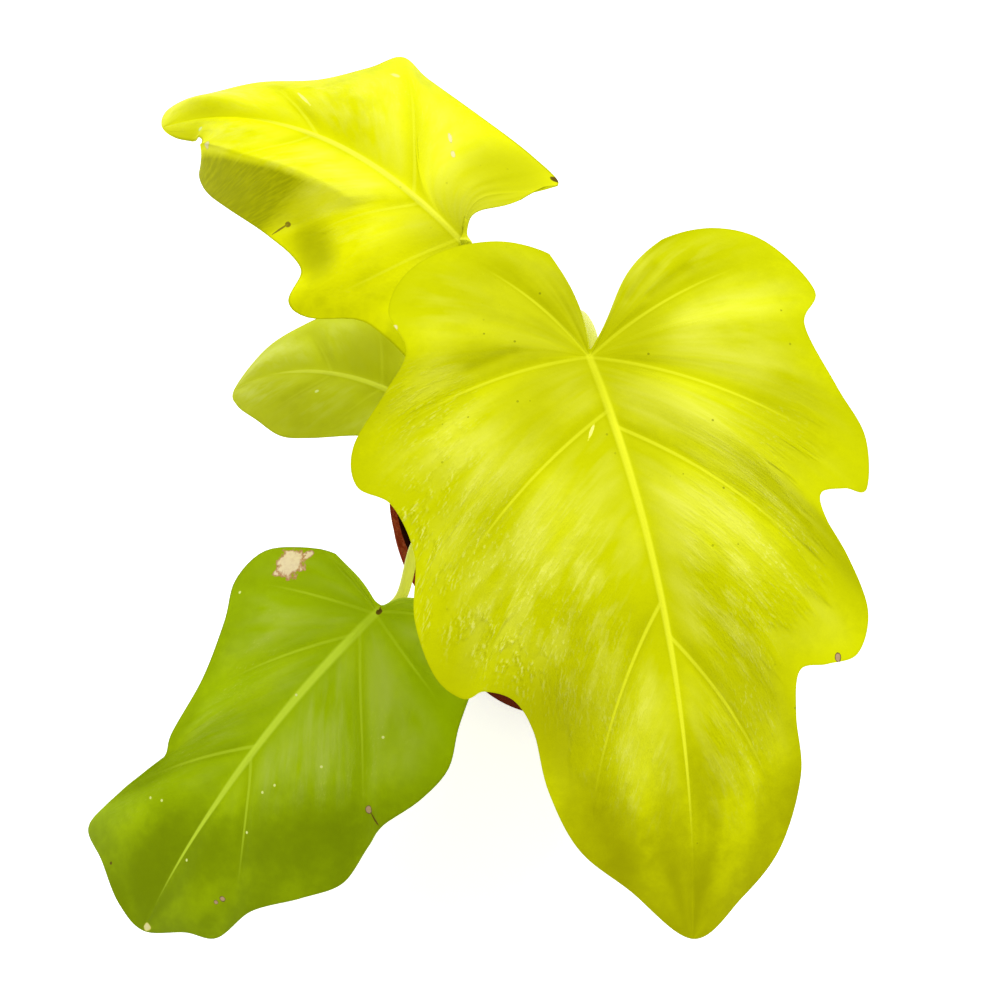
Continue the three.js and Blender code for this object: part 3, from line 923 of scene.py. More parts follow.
@dataclass(frozen=True)
class LeafForm:
    """A blade's place, its size and the way its sheet is arched, in millimetres and degrees.

    The arch raises its middle, the droop lowers its sides, the gull is how deep the groove along its midrib
    is, and the quilt is how far it puffs up between the veins, in full from a share of its length on. The
    veins bow by a share of their length. The fan is the share of the columns that start at the junction.
    The rib stands out below, and tapers by a share of its height.
    """

    junction: Row
    heading: float
    pitch: float
    roll: float
    length: float
    half_width: float
    midrib_bow: float
    arch: float
    droop: float
    gull: float
    quilt: float
    vein_bow: float
    rib_height: float
    right: HalfBlade
    left: HalfBlade
    fan_share: float = 0.42
    groove_sharpness: float = 5.0
    groove_fade: float = 0.4
    quilt_start: float = 0.25
    rib_taper: float = 0.8

    def half(self, side: int) -> HalfBlade:
        """The half on a side, 1 for the leaf's left and -1 for its right."""
        return self.left if side > 0 else self.right

    def placed(self, x: np.ndarray, y: np.ndarray, height: np.ndarray) -> np.ndarray:
        """Points of the leaf in the frame.

        Args:
            x: Distances along the midrib.
            y: Distances to the leaf's left.
            height: Heights over the flat sheet.

        Returns:
            A row of metres for each point.
        """
        heading, pitch, roll = (math.radians(angle) for angle in (self.heading, self.pitch, self.roll))
        level = math.cos(pitch)
        forward = np.array([level * math.cos(heading), level * math.sin(heading), -math.sin(pitch)])
        flat_left = np.array([-math.sin(heading), math.cos(heading), 0])
        flat_up = np.cross(forward, flat_left)
        left = flat_left * math.cos(roll) + flat_up * math.sin(roll)
        up = flat_up * math.cos(roll) - flat_left * math.sin(roll)
        shift = np.outer(x, forward) + np.outer(y, left) + np.outer(height, up)
        return (np.array(self.junction) + shift) * MM

    def midrib_y(self, x: np.ndarray) -> np.ndarray:
        """How far the midrib bows to the leaf's left at x."""
        share = np.clip(x / self.length, 0, 1)
        return self.midrib_bow * 4 * share * (1 - share)

    def sheet(self, x: np.ndarray, y: np.ndarray) -> np.ndarray:
        """The arched sheet, with its shallow groove along the midrib.

        Args:
            x: Distances along the midrib.
            y: Distances to the leaf's left.

        Returns:
            Its heights.
        """
        along = 2 * x / self.length - 1
        across = np.abs(y - self.midrib_y(x)) / self.half_width
        fading = np.clip((1 - x / self.length) / self.groove_fade, 0, 1)
        groove = self.gull * (1 - fading * np.exp(-((self.groove_sharpness * across) ** 2)))
        return self.arch * (1 - along**2) - self.droop * across**2 + groove

    def vein_shares(self, side: int) -> list[tuple[float, float]]:
        """Pairs of column share and outline position: the sinus, each vein and the tip.

        Args:
            side: The half, 1 or -1.

        Returns:
            The pairs, from the sinus to the tip.
        """
        half = self.half(side)
        last_fan = [position for position, x in half.veins if x == 0][-1]
        pairs = [(0.0, 0.0)]
        for position, x in half.veins:
            past = self.fan_share + (1 - self.fan_share) * math.sqrt(x / self.length)
            pairs.append((self.fan_share * position / last_fan if x == 0 else past, position))
        return pairs + [(1.0, len(half.outline) - 2.0)]

    def rays(self, side: int, share: np.ndarray, outward: np.ndarray) -> tuple[np.ndarray, ...]:
        """Points on one half.

        Args:
            side: The half, 1 or -1.
            share: Column shares, from 0 at the sinus to 1 at the tip.
            outward: Shares of the way from the midrib to the margin.

        Returns:
            x, y, height, the number of veins passed, the ray's length, and where along the midrib it ends.
        """
        half = self.half(side)
        pairs = np.array(self.vein_shares(side))
        last = len(pairs) - 1
        vein = np.interp(share, pairs[:, 0], np.arange(last + 1))
        beyond = self.half(-side).outline[-2]
        edge_x, edge_y, lift = half.margin(np.interp(share, pairs[:, 0], pairs[:, 1]), beyond).T
        past = np.clip((share - self.fan_share) / (1 - self.fan_share), 0, 1)
        start_x = self.length * past**2
        start_y = self.midrib_y(start_x)
        span_x, span_y = edge_x - start_x, edge_y - start_y
        sweep, ess, rise, reach = half.sinus
        with_sinus = np.clip(reach - vein, 0, 1)
        sinus_swing = sweep * np.sin(math.pi * outward) + ess * np.sin(2 * math.pi * outward)
        vein_swing = 4 * outward * (1 - outward) * self.vein_bow * np.minimum(1 - with_sinus, last - vein)
        swing = side * (with_sinus * sinus_swing - vein_swing)
        x = start_x + outward * span_x + swing * span_y
        y = start_y + outward * span_y - swing * span_x
        spread = np.clip(np.hypot(x, y) / (self.quilt_start * self.length), 0, 1)
        quilting = self.quilt * np.sin(math.pi * vein) ** 2 * (1 - with_sinus) * spread
        puff = (quilting + rise * np.maximum(0, 1 - vein)) * np.sin(math.pi * outward)
        tip_lift = half.outline[-1][2] * (start_x / self.length) ** 4
        bend = (lift - tip_lift) * half.bent(outward, y, edge_x, edge_y)
        height = self.sheet(x, y) + tip_lift + bend + puff
        return x, y, height, vein, np.hypot(span_x, span_y), edge_x


LEAF_FORMS = {
    "front": LeafForm(
        junction=(5, -14, 215), heading=-79.5, pitch=22, roll=0, length=172, half_width=80, midrib_bow=7,
        arch=10, droop=8, gull=2.5, quilt=2, vein_bow=0.06, rib_height=2.2,
        right=HalfBlade(
            sinus=(-0.07, 0, 1.5, 1),
            outline=(
                (-25, 0, 3), (-34, -5.5, 2), (-41, -19, -1), (-41.5, -36, -3), (-36, -49, -4),
                (-25, -56, -4), (-11, -53, 0), (0, -61, -3), (14, -73, -8), (26, -74, -9), (34, -65, -4),
                (50, -61, -1), (68, -64, -2), (85, -61, -5), (93, -54, -7), (92, -48, -3), (96, -40, -2),
                (106, -36, -1), (123, -34.5, -3), (141, -28.5, -4), (155, -16, -4), (172, 0, -3)),
            veins=((2, 0), (7.3, 0), (11.4, 17), (18.2, 75)),
            creases=((-4.6, -21.8, -2.1, -35.6),)),
        left=HalfBlade(
            sinus=(-0.07, 0.025, 1.5, 1),
            outline=(
                (-24, 18, 3), (-32.5, 28.5, 3), (-34.5, 46, 1), (-28, 61.5, -1), (-11, 73, -3),
                (0, 66.5, -1), (20, 72.5, -4), (36, 78.5, -7), (52, 75, -6), (51, 68, -4),
                (51.5, 59.5, -1), (59, 59, 0), (73, 64.5, -3), (88, 68, -7), (99.5, 62.5, -7),
                (101, 52, -4), (101.5, 43, -2), (114, 39.5, -1), (131, 38.5, -3), (150.5, 29.5, -4),
                (163, 16, -4), (172, 0, -3)),
            veins=((2.3, 0), (6.6, 0), (12.2, 22), (17.8, 85)),
            creases=((-15.9, 14.8, -23.7, 24.2), (-15.5, 21.5, -22.7, 33.9)))),
    "far": LeafForm(
        junction=(-33, 34, 205), heading=148, pitch=11, roll=-4, length=123, half_width=58, midrib_bow=-9,
        arch=15, droop=6, gull=2.5, quilt=2, vein_bow=0.05, rib_height=2,
        right=HalfBlade(
            sinus=(0.16, 0.06, 0, 3),
            outline=(
                (-5, -17, 0), (-7, -23.5, 0), (-9.2, -32, -1), (-10.2, -38.3, -4), (2, -43, -8),
                (26, -48, -12), (47, -52.5, -13), (60, -56.5, -12), (65, -45, -9), (77, -32.5, -7),
                (97, -25, -5), (111, -18.5, -4), (120, -16, -4), (128, -13, -4), (130.5, -8, -4),
                (123, 0, -3)),
            veins=((2.4, 0), (3.6, 4), (6, 20), (9, 58)),
            plain_veins=2),
        left=HalfBlade(
            sinus=(0, 0, 1, 1),
            outline=(
                (-17, 10, 1), (-22, 18, 1), (-24, 32, -1), (-12, 42, -3), (3, 40, -2), (14, 39, -4),
                (27, 46, -4), (35, 45, -3), (40, 32, -7), (58, 25, -12), (79, 20, -14), (93, 15.5, -15),
                (99, 11, -12), (96, 7, -7), (100, 4, -5), (113, 3.5, -4), (123, 0, -3)),
            veins=((1, 0), (5.5, 2), (7.7, 17), (9.8, 60)),
            # The fold's shade and the dimple lay painted shade on the lobe that the fold bends down
            fold=(7.5, 56, 104),
            fold_ramp=3.5,
            fold_shade=(34, 0.75, 13),
            dimples=((38, 26.5, 13, 7, -40, 1.8),),
            vein_reach=0.35)),
    "small": LeafForm(
        junction=(-54, 20, 135), heading=165, pitch=20, roll=0, length=67, half_width=28, midrib_bow=-4,
        arch=8, droop=1, gull=1, quilt=0.6, vein_bow=0.05, rib_height=1.1,
        right=HalfBlade(
            sinus=(0, 0, 0, 1),
            outline=(
                (-3, -3, 0), (-4, -8, 0), (-3, -17, 0), (5, -26, -1), (19, -30, -1), (34, -29, -1),
                (46, -25, -2), (60.5, -16.5, -2), (67, 0, 0)),
            veins=((1, 0), (3, 8), (5, 26))),
        left=HalfBlade(
            sinus=(0, 0, 0, 1),
            outline=(
                (-3, 3, 0), (-3, 8, 0), (0, 15, -1), (13, 18.5, -2), (26, 21.5, -2), (38, 21.5, -2),
                (51, 14.5, -2), (62.5, 7.5, -1), (67, 0, 0)),
            veins=((1, 0), (3, 8), (5, 26)))),
    "low": LeafForm(
        junction=(-61, -60, 135), heading=-134, pitch=33, roll=0, length=137, half_width=56, midrib_bow=-3,
        arch=8, droop=6, gull=2.5, quilt=1.6, vein_bow=0.035, rib_height=1.8,
        right=HalfBlade(
            sinus=(-0.08, 0, 1.5, 1),
            outline=(
                (-5, -12, 2), (-5.5, -23, 1), (2, -36, -2), (12, -46, -4), (25, -47, -4), (36, -39, -1),
                (54.5, -32.5, -1), (74, -28.5, 2), (82, -26, 1.5), (93, -29.5, 0), (113, -37, -4),
                (126, -38.5, -4), (128, -25.5, 0), (134, -11.5, 1), (137, 0, -3)),
            veins=((0.5, 0), (3, 1), (5.4, 10), (8.6, 58))),
        left=HalfBlade(
            sinus=(-0.12, 0, 2, 1),
            outline=(
                (-9, 4, 3), (-14, 12, 3), (-16, 26, 0), (-8, 37, -4), (4, 40, -8), (13, 43.5, -8),
                (24, 49.5, -6), (36.5, 49.5, -3), (50, 46, 0), (60, 45.5, -4), (75, 45.5, -6),
                (87, 38.5, -3), (102, 28, -2), (119.5, 22.5, -5), (125.5, 13, -3), (137, 0, -3)),
            veins=((1, 0), (4, 1), (8.2, 8), (11.5, 62)),
            creases=((49, 39, 50.5, 46),))),
}

SPECK_SPOTS = (
    (26, -42.1), (36.8, -3), (47.4, 19.5), (62.8, 10.6), (67.7, 8.5), (81.9, 11.9), (104.4, 0.2),
    (94.6, -18.4), (97.2, -22.6), (27.1, 29.2))
LEAF_FINISHES = {
    "front": LeafFinish(
        body=tone(208, 214, 0), bright=tone(221, 227, 0), shade=tone(166, 168, 0),
        gleam=tone(232, 236, 76), vein=tone(236, 241, 40), midrib=tone(242, 246, 46),
        back=tone(196, 204, 60), tip_shade=0.65, edge_shade=0.05, rim_shade=0.2, strokes=1.0, sheen=0.26,
        specks=0.6, vein_strength=0.85, gloss=0.02, midrib_width=1.25, midrib_end=0.88, hub_shade=0.3,
        sheen_end=0.8,
        # Each patch dulls the painted sheen and lays painted shade
        sheen_and_shade_patches=(
            (-20.7, -17, 20, 0.9, 0.35), (12.2, -20.6, 12, 0.8, 0.15), (-9, -34.3, 10, 0.7, 0.2),
            (31.3, 54.4, 16, 0.8, 0.35), (72.4, 44.2, 13, 0.7, 0.1), (103, -29.5, 16, 0.9, 0.65),
            (105.4, 32.9, 15, 0.8, 0.25), (-3.8, 15.9, 10, 0.8, 0.2), (48.5, -12.6, 12, 0.4, 0),
            (36.3, 43.2, 11, 0.35, 0), (171, 0, 15, 1, 0.6)),
        # Crinkles carry painted light and shade over their bump
        crinkles=(
            (37, -59.5, 6, 1), (47, -58, 7, 0.95), (59, -56, 8, 0.6), (70, -57, 8, 0.6),
            (75, -46.5, 8, 0.9), (83, -40.5, 8, 1), (88.5, -34, 8, 0.95), (96, -27, 9, 0.6),
            (79.5, 34.5, 11, 0.3), (8, -49, 14, 0.4), (30, -48, 14, 0.45), (84, -10, 10, 0.2),
            (104, -14, 8, 0.35)),
        blemishes=(
            # The glint is a painted highlight
            Blemish(SpotKind.GLINT, 22.6, -4, 2.8, 0.5, -32, 1.4),
            Blemish(SpotKind.BROWN, 99.6, 55.7, 1.6, 1.1),
            Blemish(SpotKind.SCAR, -19.3, -54.9, 0.9, 0.8))),
    "far": LeafFinish(
        body=tone(233, 236, 0), bright=tone(239, 242, 0), shade=tone(164, 168, 0),
        gleam=tone(240, 243, 78), vein=tone(234, 238, 40), midrib=tone(243, 246, 66),
        back=tone(196, 202, 56), tip_shade=0.2, edge_shade=0.2, rim_shade=0.7, strokes=0.3, sheen=0.35,
        specks=0.2, vein_strength=0.7, gloss=0.02, midrib_width=1.1, midrib_end=0.72, hub_shade=0.6,
        sheen_end=1.1,
        # Each patch dulls the painted sheen and lays painted shade
        sheen_and_shade_patches=(
            (1.7, -30.5, 15, 1, 0.6), (-8, -38, 8, 0.8, 0.3), (22.6, 33.2, 15, 1, 0),
            (8.6, 15.8, 13, 0.9, 0), (110.7, -3.3, 16, 0.9, 0.3), (58, -34, 30, 0, 0.12)),
        blemishes=(
            Blemish(SpotKind.SCAR, 18.4, -25.3, 1.6, 0.7, 132),
            Blemish(SpotKind.SCAR, 23.4, -31, 2.4, 0.6, 132), Blemish(SpotKind.SCAR, 92.5, 7.1, 1, 1),
            Blemish(SpotKind.SPECK, 101.9, 0.5, 0.8, 0.8),
            # The two glints are painted highlights
            Blemish(SpotKind.GLINT, 71.6, -20.4, 4.6, 0.5, 156, 1.2),
            Blemish(SpotKind.GLINT, 52.7, -44.2, 1.8, 0.9, 0, 1.2),
            Blemish(SpotKind.CRACK, 52.6, 20.1, 1, 0.8),
            Blemish(SpotKind.CRACK, 55, 22.2, 3, 0.35, 43, 0.5),
            # The dark spot at the ear's curled tip is painted shade
            Blemish(SpotKind.CALLUS, -9, -38.6, 1.6, 1.2))),
    "small": LeafFinish(
        body=tone(194, 203, 30), bright=tone(201, 210, 44), shade=tone(166, 172, 14),
        gleam=tone(210, 218, 96), vein=tone(208, 217, 54), midrib=tone(214, 223, 70),
        back=tone(166, 174, 54), tip_shade=0.0, edge_shade=0.1, rim_shade=0.5, strokes=0.1, sheen=0.3,
        specks=0.0, vein_strength=0.25, gloss=0.03, midrib_width=1.05, midrib_end=0.78, hub_shade=0.7,
        # Its patch dulls the painted sheen and lays painted shade near the junction
        sheen_end=1.4, sheen_and_shade_patches=((13, -15.5, 13, 0.8, 0.75),),
        blemishes=(Blemish(SpotKind.SPECK, 28.5, 4.6, 0.8, 0.8),)),
    "low": LeafFinish(
        body=tone(157, 184, 0), bright=tone(167, 193, 0), shade=tone(124, 145, 0),
        gleam=tone(176, 196, 72), vein=tone(184, 209, 40), midrib=tone(198, 223, 56),
        back=tone(136, 156, 56), tip_shade=0.8, edge_shade=0.3, rim_shade=0.6, strokes=0.3, sheen=0.3,
        specks=0.0, vein_strength=0.75, gloss=0.025, midrib_width=1.6, midrib_end=0.94, hub_shade=0.1,
        sheen_end=0.66, slant=1.0,
        # Each patch dulls the painted sheen
        sheen_and_shade_patches=((47.5, -13.4, 15, 0.9, 0), (95, -24, 30, 1, 0), (8.9, -26.9, 10, 0.5, 0)),
        blemishes=(
            Blemish(SpotKind.DRIED, 2.2, -31.4, 3.4, 1.3, -28),
            Blemish(SpotKind.DRIED, 11.6, -35.2, 3, 1.3, -28),
            Blemish(SpotKind.DRIED, 7.2, -33.8, 5.4, 4.6, -45, 1.5),
            Blemish(SpotKind.BROWN, 49, 39, 1.3, 1.2),
            Blemish(SpotKind.CALLUS, 49.7, 42.5, 2.6, 0.35, 80, 0.5),
            Blemish(SpotKind.BROWN, 106, 17.6, 0.9, 0.9), Blemish(SpotKind.BROWN, 108.4, 16.4, 0.7, 0.7),
            Blemish(SpotKind.SCAR, 134.7, 0.6, 1.6, 1.2),
            Blemish(SpotKind.CALLUS, 125.5, -21.6, 0.6, 0.5),
            Blemish(SpotKind.CALLUS, -0.4, 0.4, 1.2, 0.9),
            *(Blemish(SpotKind.SPECK, x, y, 0.5, 0.5, 0, 0.3) for x, y in SPECK_SPOTS))),
}


@dataclass(frozen=True)
class Blade:
    """A blade with its ribs, quilting and thin margin, in millimetres.

    It is made of columns from the sinus to the tip, and on each half of rows from the midrib to the margin.
    The seed is where its random relief starts. A pucker row is (height, waves from vein to vein, waves from
    the midrib to the margin). Rib taper rows are (share of the length, share of the midrib's full width).
    The hub is the part round the junction, where the veins' relief fades.
    """

    key: str
    slot: str
    columns: int
    rows: int
    seed: int
    thickness: float = 0.8
    margin_thickness: float = 0.45
    margin_taper: float = 10.0
    row_crowding: float = 1.5
    puckers: tuple[Row, Row] = ((0.4, 3.4, 1.3), (0.09, 10, 3))
    pucker_start: float = 12.0
    vein_half_width: float = 0.72
    vein_thinning: float = 0.7
    vein_start: float = 6.0
    vein_fading: float = 0.7
    vein_valley: float = 1.2
    vein_valley_width: float = 2.2
    vein_ridge: float = 0.35
    rib_valley: float = 0.5
    rib_valley_width: float = 4.0
    rib_ridge: float = 0.5
    rib_start: float = 8.0
    rib_spread: float = 1.6
    rib_run_out: float = 0.08
    rib_fading: float = 0.8
    rib_points: int = 60
    rib_taper: tuple[Row, ...] = (
        (0, 0.85), (0.04, 0.95), (0.12, 1), (0.3, 0.86), (0.5, 0.72), (0.64, 0.48), (0.72, 0.34),
        (0.85, 0.18), (1, 0.1))
    hub_share: float = 0.35
    sheen_clear_width: float = 5.0

    @property
    def form(self) -> LeafForm:
        """The leaf's form."""
        return LEAF_FORMS[self.key]

    @property
    def finish(self) -> LeafFinish:
        """The leaf's finish."""
        return LEAF_FINISHES[self.key]

    def column_shares(self) -> np.ndarray:
        """Column shares, even but for those moved onto a vein.

        Returns:
            The shares, from 0 at the sinus to 1 at the tip.
        """
        shares = np.linspace(0, 1, self.columns)
        for side in (-1, 1):
            for share, _ in self.form.vein_shares(side)[1:-1]:
                shares[np.argmin(np.abs(shares - share))] = share
        return shares

    def row_shares(self) -> np.ndarray:
        """Signed shares from the right margin to the left one, closer together near the midrib."""
        steps = np.linspace(0, 1, self.rows + 1) ** self.row_crowding
        return np.concatenate([-steps[:0:-1], steps])

    @staticmethod
    def distance(points: np.ndarray, line: np.ndarray) -> np.ndarray:
        """Distances from flat points to a line through rows of points.

        Args:
            points: The points.
            line: The line's points, in order.

        Returns:
            A distance for each point.
        """
        best = np.full(len(points), np.inf)
        for start, stop in zip(line[:-1], line[1:]):
            step = stop - start
            share = np.clip((points - start) @ step / max(step @ step, 1e-9), 0, 1)
            gap = points - start - share[:, None] * step
            best = np.minimum(best, np.hypot(gap[:, 0], gap[:, 1]))
        return best

    def ripple(self, vein: np.ndarray, outward: np.ndarray, side: int) -> np.ndarray:
        """Fine random puckers that run out along the veins.

        Args:
            vein: The number of veins passed.
            outward: Shares of the way from the midrib to the margin.
            side: The half, 1 or -1.

        Returns:
            Their heights.
        """
        (height, per_vein, per_row), (fine_height, fine_per_vein, fine_per_row) = self.puckers
        fine_height = fine_height * self.finish.strokes
        lift = self.seed + 40 * side
        waves = [
            height * noise.noise(Vector((per_vein * v, per_row * r, lift)))
            + fine_height * noise.noise(Vector((fine_per_vein * v, fine_per_row * r, lift + 9)))
            for v, r in zip(vein, outward)]
        return np.array(waves) * np.sin(math.pi * np.clip(outward, 0, 1))

    def dents(self, half: HalfBlade, spots: np.ndarray) -> Iterator[tuple[float, float, np.ndarray]]:
        """The creases and dimples of one half.

        Args:
            half: The half.
            spots: Points of its flat sheet.

        Yields:
            A dent's depth, how much painted shade it lays in its hollows, and its shape from 0 to 1.
        """
        for start_x, start_y, stop_x, stop_y in half.creases:
            gap = self.distance(spots, np.array([[start_x, start_y], [stop_x, stop_y]]))
            yield half.crease_depth, 0.6, np.exp(-((gap / half.crease_width) ** 2))
        for centre_x, centre_y, length, width, angle, depth in half.dimples:
            turn = complex(math.cos(math.radians(angle)), -math.sin(math.radians(angle)))
            local = (spots[:, 0] - centre_x + 1j * (spots[:, 1] - centre_y)) * turn
            reach = (local.real / length) ** 2 + (local.imag / width) ** 2
            yield depth, 2.0, np.exp(-(reach**1.5))

    def half_sheet(self, side: int, share: np.ndarray, outward: np.ndarray) -> dict[str, np.ndarray]:
        """Points of one half, with the relief of its ribs, veins and dents.

        Args:
            side: The half, 1 or -1.
            share: Column shares, from 0 at the sinus to 1 at the tip.
            outward: Shares of the way from the midrib to the margin.

        Returns:
            Each point's x, y, height and what its materials read, by name.
        """
        form, half = self.form, self.form.half(side)
        x, y, height, passed, span, edge_x = form.rays(side, share, outward)
        spots = np.column_stack([x, y])
        ruler = self.row_shares()[self.rows:]
        to_vein = np.full(len(x), np.inf)
        for vein_share, _ in form.vein_shares(side)[1 + half.plain_veins:-1]:
            line = np.column_stack(form.rays(side, np.full(len(ruler), vein_share), ruler)[:2])
            to_vein = np.minimum(to_vein, self.distance(spots, line))
        spine_x = np.linspace(0, form.length, self.rib_points)
        to_spine = self.distance(spots, np.column_stack([spine_x, form.midrib_y(spine_x)]))
        rib_width = self.finish.midrib_width * np.interp(x / form.length, *zip(*self.rib_taper))
        hub = np.hypot(x, y)
        by_hub = hub / (self.hub_share * form.length)
        nearness = np.clip(np.minimum(to_spine / self.vein_start, by_hub), 0, 1)
        fading = np.clip(1 - outward / half.vein_reach, 0, 1) ** self.vein_fading * nearness
        # Vein valleys: their shape sinks the sheet, and the face also lays painted shade in them
        hollow = np.exp(-((to_vein / self.vein_valley_width) ** 2)) * fading
        line_width = self.vein_half_width * (1 - self.vein_thinning * outward)
        crest = self.vein_ridge * np.exp(-((to_vein / line_width) ** 2)) * fading
        height = height - self.vein_valley * hollow + crest
        by_spine = np.exp(-((to_spine / self.rib_valley_width) ** 2))
        rib_end = self.finish.midrib_end + self.rib_run_out
        taper = np.clip(rib_end - x / form.length, 0, 1) ** self.rib_fading
        rib_crest = self.rib_ridge * np.exp(-((to_spine / rib_width) ** 2))
        rib_crest = rib_crest * np.clip(hub / self.rib_start, 0, 1)
        height = height + (rib_crest - self.rib_valley * by_spine) * taper
        height = height + self.ripple(passed, outward, side) * np.clip(span / self.pucker_start, 0, 1)
        # Creases and dimples sink the sheet and add painted shade to the valleys' trait
        for depth, painted_shade, dent in self.dents(half, spots):
            height = height - depth * dent
            hollow = np.maximum(hollow, dent * painted_shade)
        # Room off the veins and the midrib where the painted sheen may lie
        off_veins = 1 - np.exp(-((to_vein / self.sheen_clear_width) ** 2))
        return {
            "x": x, "y": y, "height": height, "outward": outward, "rib": to_spine / rib_width,
            "vein": to_vein / line_width, "hollow": hollow, "turned": half.turned(x, y, edge_x),
            "margin": (1 - outward) * span, "clear": off_veins * (1 - by_spine)}

    def traits(self, sheet: dict[str, np.ndarray]) -> dict[str, np.ndarray]:
        """What the blade's points carry for its materials.

        Args:
            sheet: Each point's values on the sheet.

        Returns:
            The traits' values by name.
        """
        x, y, length = sheet["x"], sheet["y"], self.form.length
        # clear is where the painted sheen may lie, patch is painted shade, and crinkle places the painted
        # light and shade of the crinkles
        clear = sheet["clear"] * (1 - np.clip(sheet["hollow"], 0, 1)) * (1 - sheet["turned"])
        patch, crinkle = np.zeros(len(x)), np.zeros(len(x))
        for spot_x, spot_y, radius, sheen_dulling, painted_shade_share in self.finish.sheen_and_shade_patches:
            spread = np.exp(-((np.hypot(x - spot_x, y - spot_y) / radius) ** 3))
            clear = clear * (1 - sheen_dulling * spread)
            patch = np.maximum(patch, painted_shade_share * spread)
        for spot_x, spot_y, radius, strength in self.finish.crinkles:
            spread = np.exp(-((np.hypot(x - spot_x, y - spot_y) / radius) ** 3))
            crinkle = np.maximum(crinkle, strength * spread)
        kept = {name: sheet[name] for name in ("rib", "vein", "hollow", "turned", "margin", "outward")}
        return kept | {
            "patch": patch, "crinkle": crinkle, "clear": clear, "along": x / length,
            "fall": (x + self.finish.slant * y) / length, "hub": np.hypot(x, y) / length}

    def build(self) -> bpy.types.Object:
        """Models the blade from a grid.

        Returns:
            The blade, with its charts, traits and thickness.
        """
        columns, rows = self.column_shares(), self.row_shares()
        Bench.clear()
        bpy.ops.mesh.primitive_grid_add(
            x_subdivisions=len(columns) - 1, y_subdivisions=len(rows) - 1, size=2)
        piece = Bench.take(f"leaf_{self.key}")
        unit = (Bench.points(piece)[:, :2] + 1) / 2
        share = columns[np.rint(unit[:, 0] * (len(columns) - 1)).astype(int)]
        across = rows[np.rint(unit[:, 1] * (len(rows) - 1)).astype(int)]
        sheet: dict[str, np.ndarray] = {}
        for side in (-1, 1):
            mine = (across * side > 0) | ((across == 0) & (side > 0))
            for name, values in self.half_sheet(side, share[mine], np.abs(across[mine])).items():
                sheet.setdefault(name, np.zeros(len(share)))[mine] = values
        x, y = sheet["x"], sheet["y"]
        Bench.shape(piece, self.form.placed(x, y, sheet["height"]))
        Bench.chart(piece, "rays", np.column_stack([share, across]))
        Bench.chart(piece, "flat", np.column_stack([x, y]) / FLAT_UNIT)
        for name, values in self.traits(sheet).items():
            Bench.trait(piece, name, values)
        self.thicken(piece, x, sheet["rib"], sheet["margin"])
        return piece

    def thicken(
            self, piece: bpy.types.Object, x: np.ndarray, rib: np.ndarray, margin: np.ndarray
    ) -> None:
        """Joins the fan at the junction and the tip, and gives the sheet its thickness and its rib below.

        Args:
            piece: The open sheet.
            x: Each point's distance along the midrib.
            rib: Each point's distance from the midrib, in half widths of it.
            margin: Each point's distance from the margin.
        """
        form = self.form
        full = self.thickness + form.rib_height
        taper = 1 - form.rib_taper * np.clip(x / form.length, 0, 1)
        thin = np.clip(margin / self.margin_taper, 0, 1)
        sheet = self.margin_thickness + (self.thickness - self.margin_thickness) * thin
        keel = form.rib_height * taper * np.exp(-((rib / self.rib_spread) ** 2))
        depth = (sheet + keel) / full
        group = piece.vertex_groups.new(name="depth")
        for index, weight in enumerate(depth):
            group.add([index], float(weight), "REPLACE")
        with Bench.editing(piece):
            bpy.ops.mesh.remove_doubles(threshold=0.0005 * MM)
            bpy.ops.mesh.normals_make_consistent(inside=False)
        upward = sum(face.normal.z * face.area for face in piece.data.polygons)
        if upward < 0:
            with Bench.editing(piece):
                bpy.ops.mesh.flip_normals()
        Bench.applied(
            piece, "SOLIDIFY", thickness=full * MM, offset=-1, vertex_group="depth",
            thickness_vertex_group=0, material_offset=1, material_offset_rim=0)
        Bench.smooth(piece, degrees=60)

    def dress(self, piece: bpy.types.Object) -> None:
        """Gives the blade its two faces' materials and its place.

        Args:
            piece: The blade.
        """
        face = self.finish.face(f"{self.key}_leaf_face")
        back = self.finish.underside(f"{self.key}_leaf_back")
        Bench.settle(piece, f"blade_{self.key}", self.slot, face, back)


# Stalks, stem and sheath


@dataclass(frozen=True)
class Stalk:
    """A petiole, in millimetres: the points that it runs through, and its radii at the stem and the blade.

    It approaches the blade's junction and ends there at points on the blade's own sheet.
    """

    key: str
    route: tuple[Row, ...]
    approach: Row
    radii: tuple[float, float]
    finish: StalkFinish
    end: Row = (2, 0.2, -2.4)
    steps: int = 48
    sides: int = 28
    groove: float = 0.22

    def centres(self) -> list[Vector]:
        """The route, with its last points under the blade's junction.

        Returns:
            The points in metres.
        """
        form = LEAF_FORMS[self.key]
        points = [Vector(point) * MM for point in self.route]
        for x, y, height in (self.approach, self.end):
            points.append(Vector(form.placed(np.array([x]), np.array([y]), np.array([height]))[0]))
        return points

    def radius(self, share: float) -> float:
        """The radius at a share of the length, flared at the base where the stalk clasps the stem."""
        base, top = self.radii
        return (top + (base - top) * (1 - share) ** 3) * MM

    def build(self) -> bpy.types.Object:
        """Models the stalk from a cylinder laid along its route.

        Returns:
            The stalk, grooved on its upper side.
        """
        route = self.centres()
        return tube(f"stalk_{self.key}", route, self.radius, self.steps, self.sides, self.groove)

    def dress(self, piece: bpy.types.Object) -> None:
        """Gives the stalk its finish and its place."""
        skin = self.finish.material(f"{self.key}_stalk")
        Bench.settle(piece, f"petiole_{self.key}", "stalk_skin", skin)


# The groove's width, how soon it runs out, and the points on a line from one point of its route to the next
GROOVE_WIDTH = 0.12
GROOVE_RATE = 1.2
SPAN_POINTS = 24


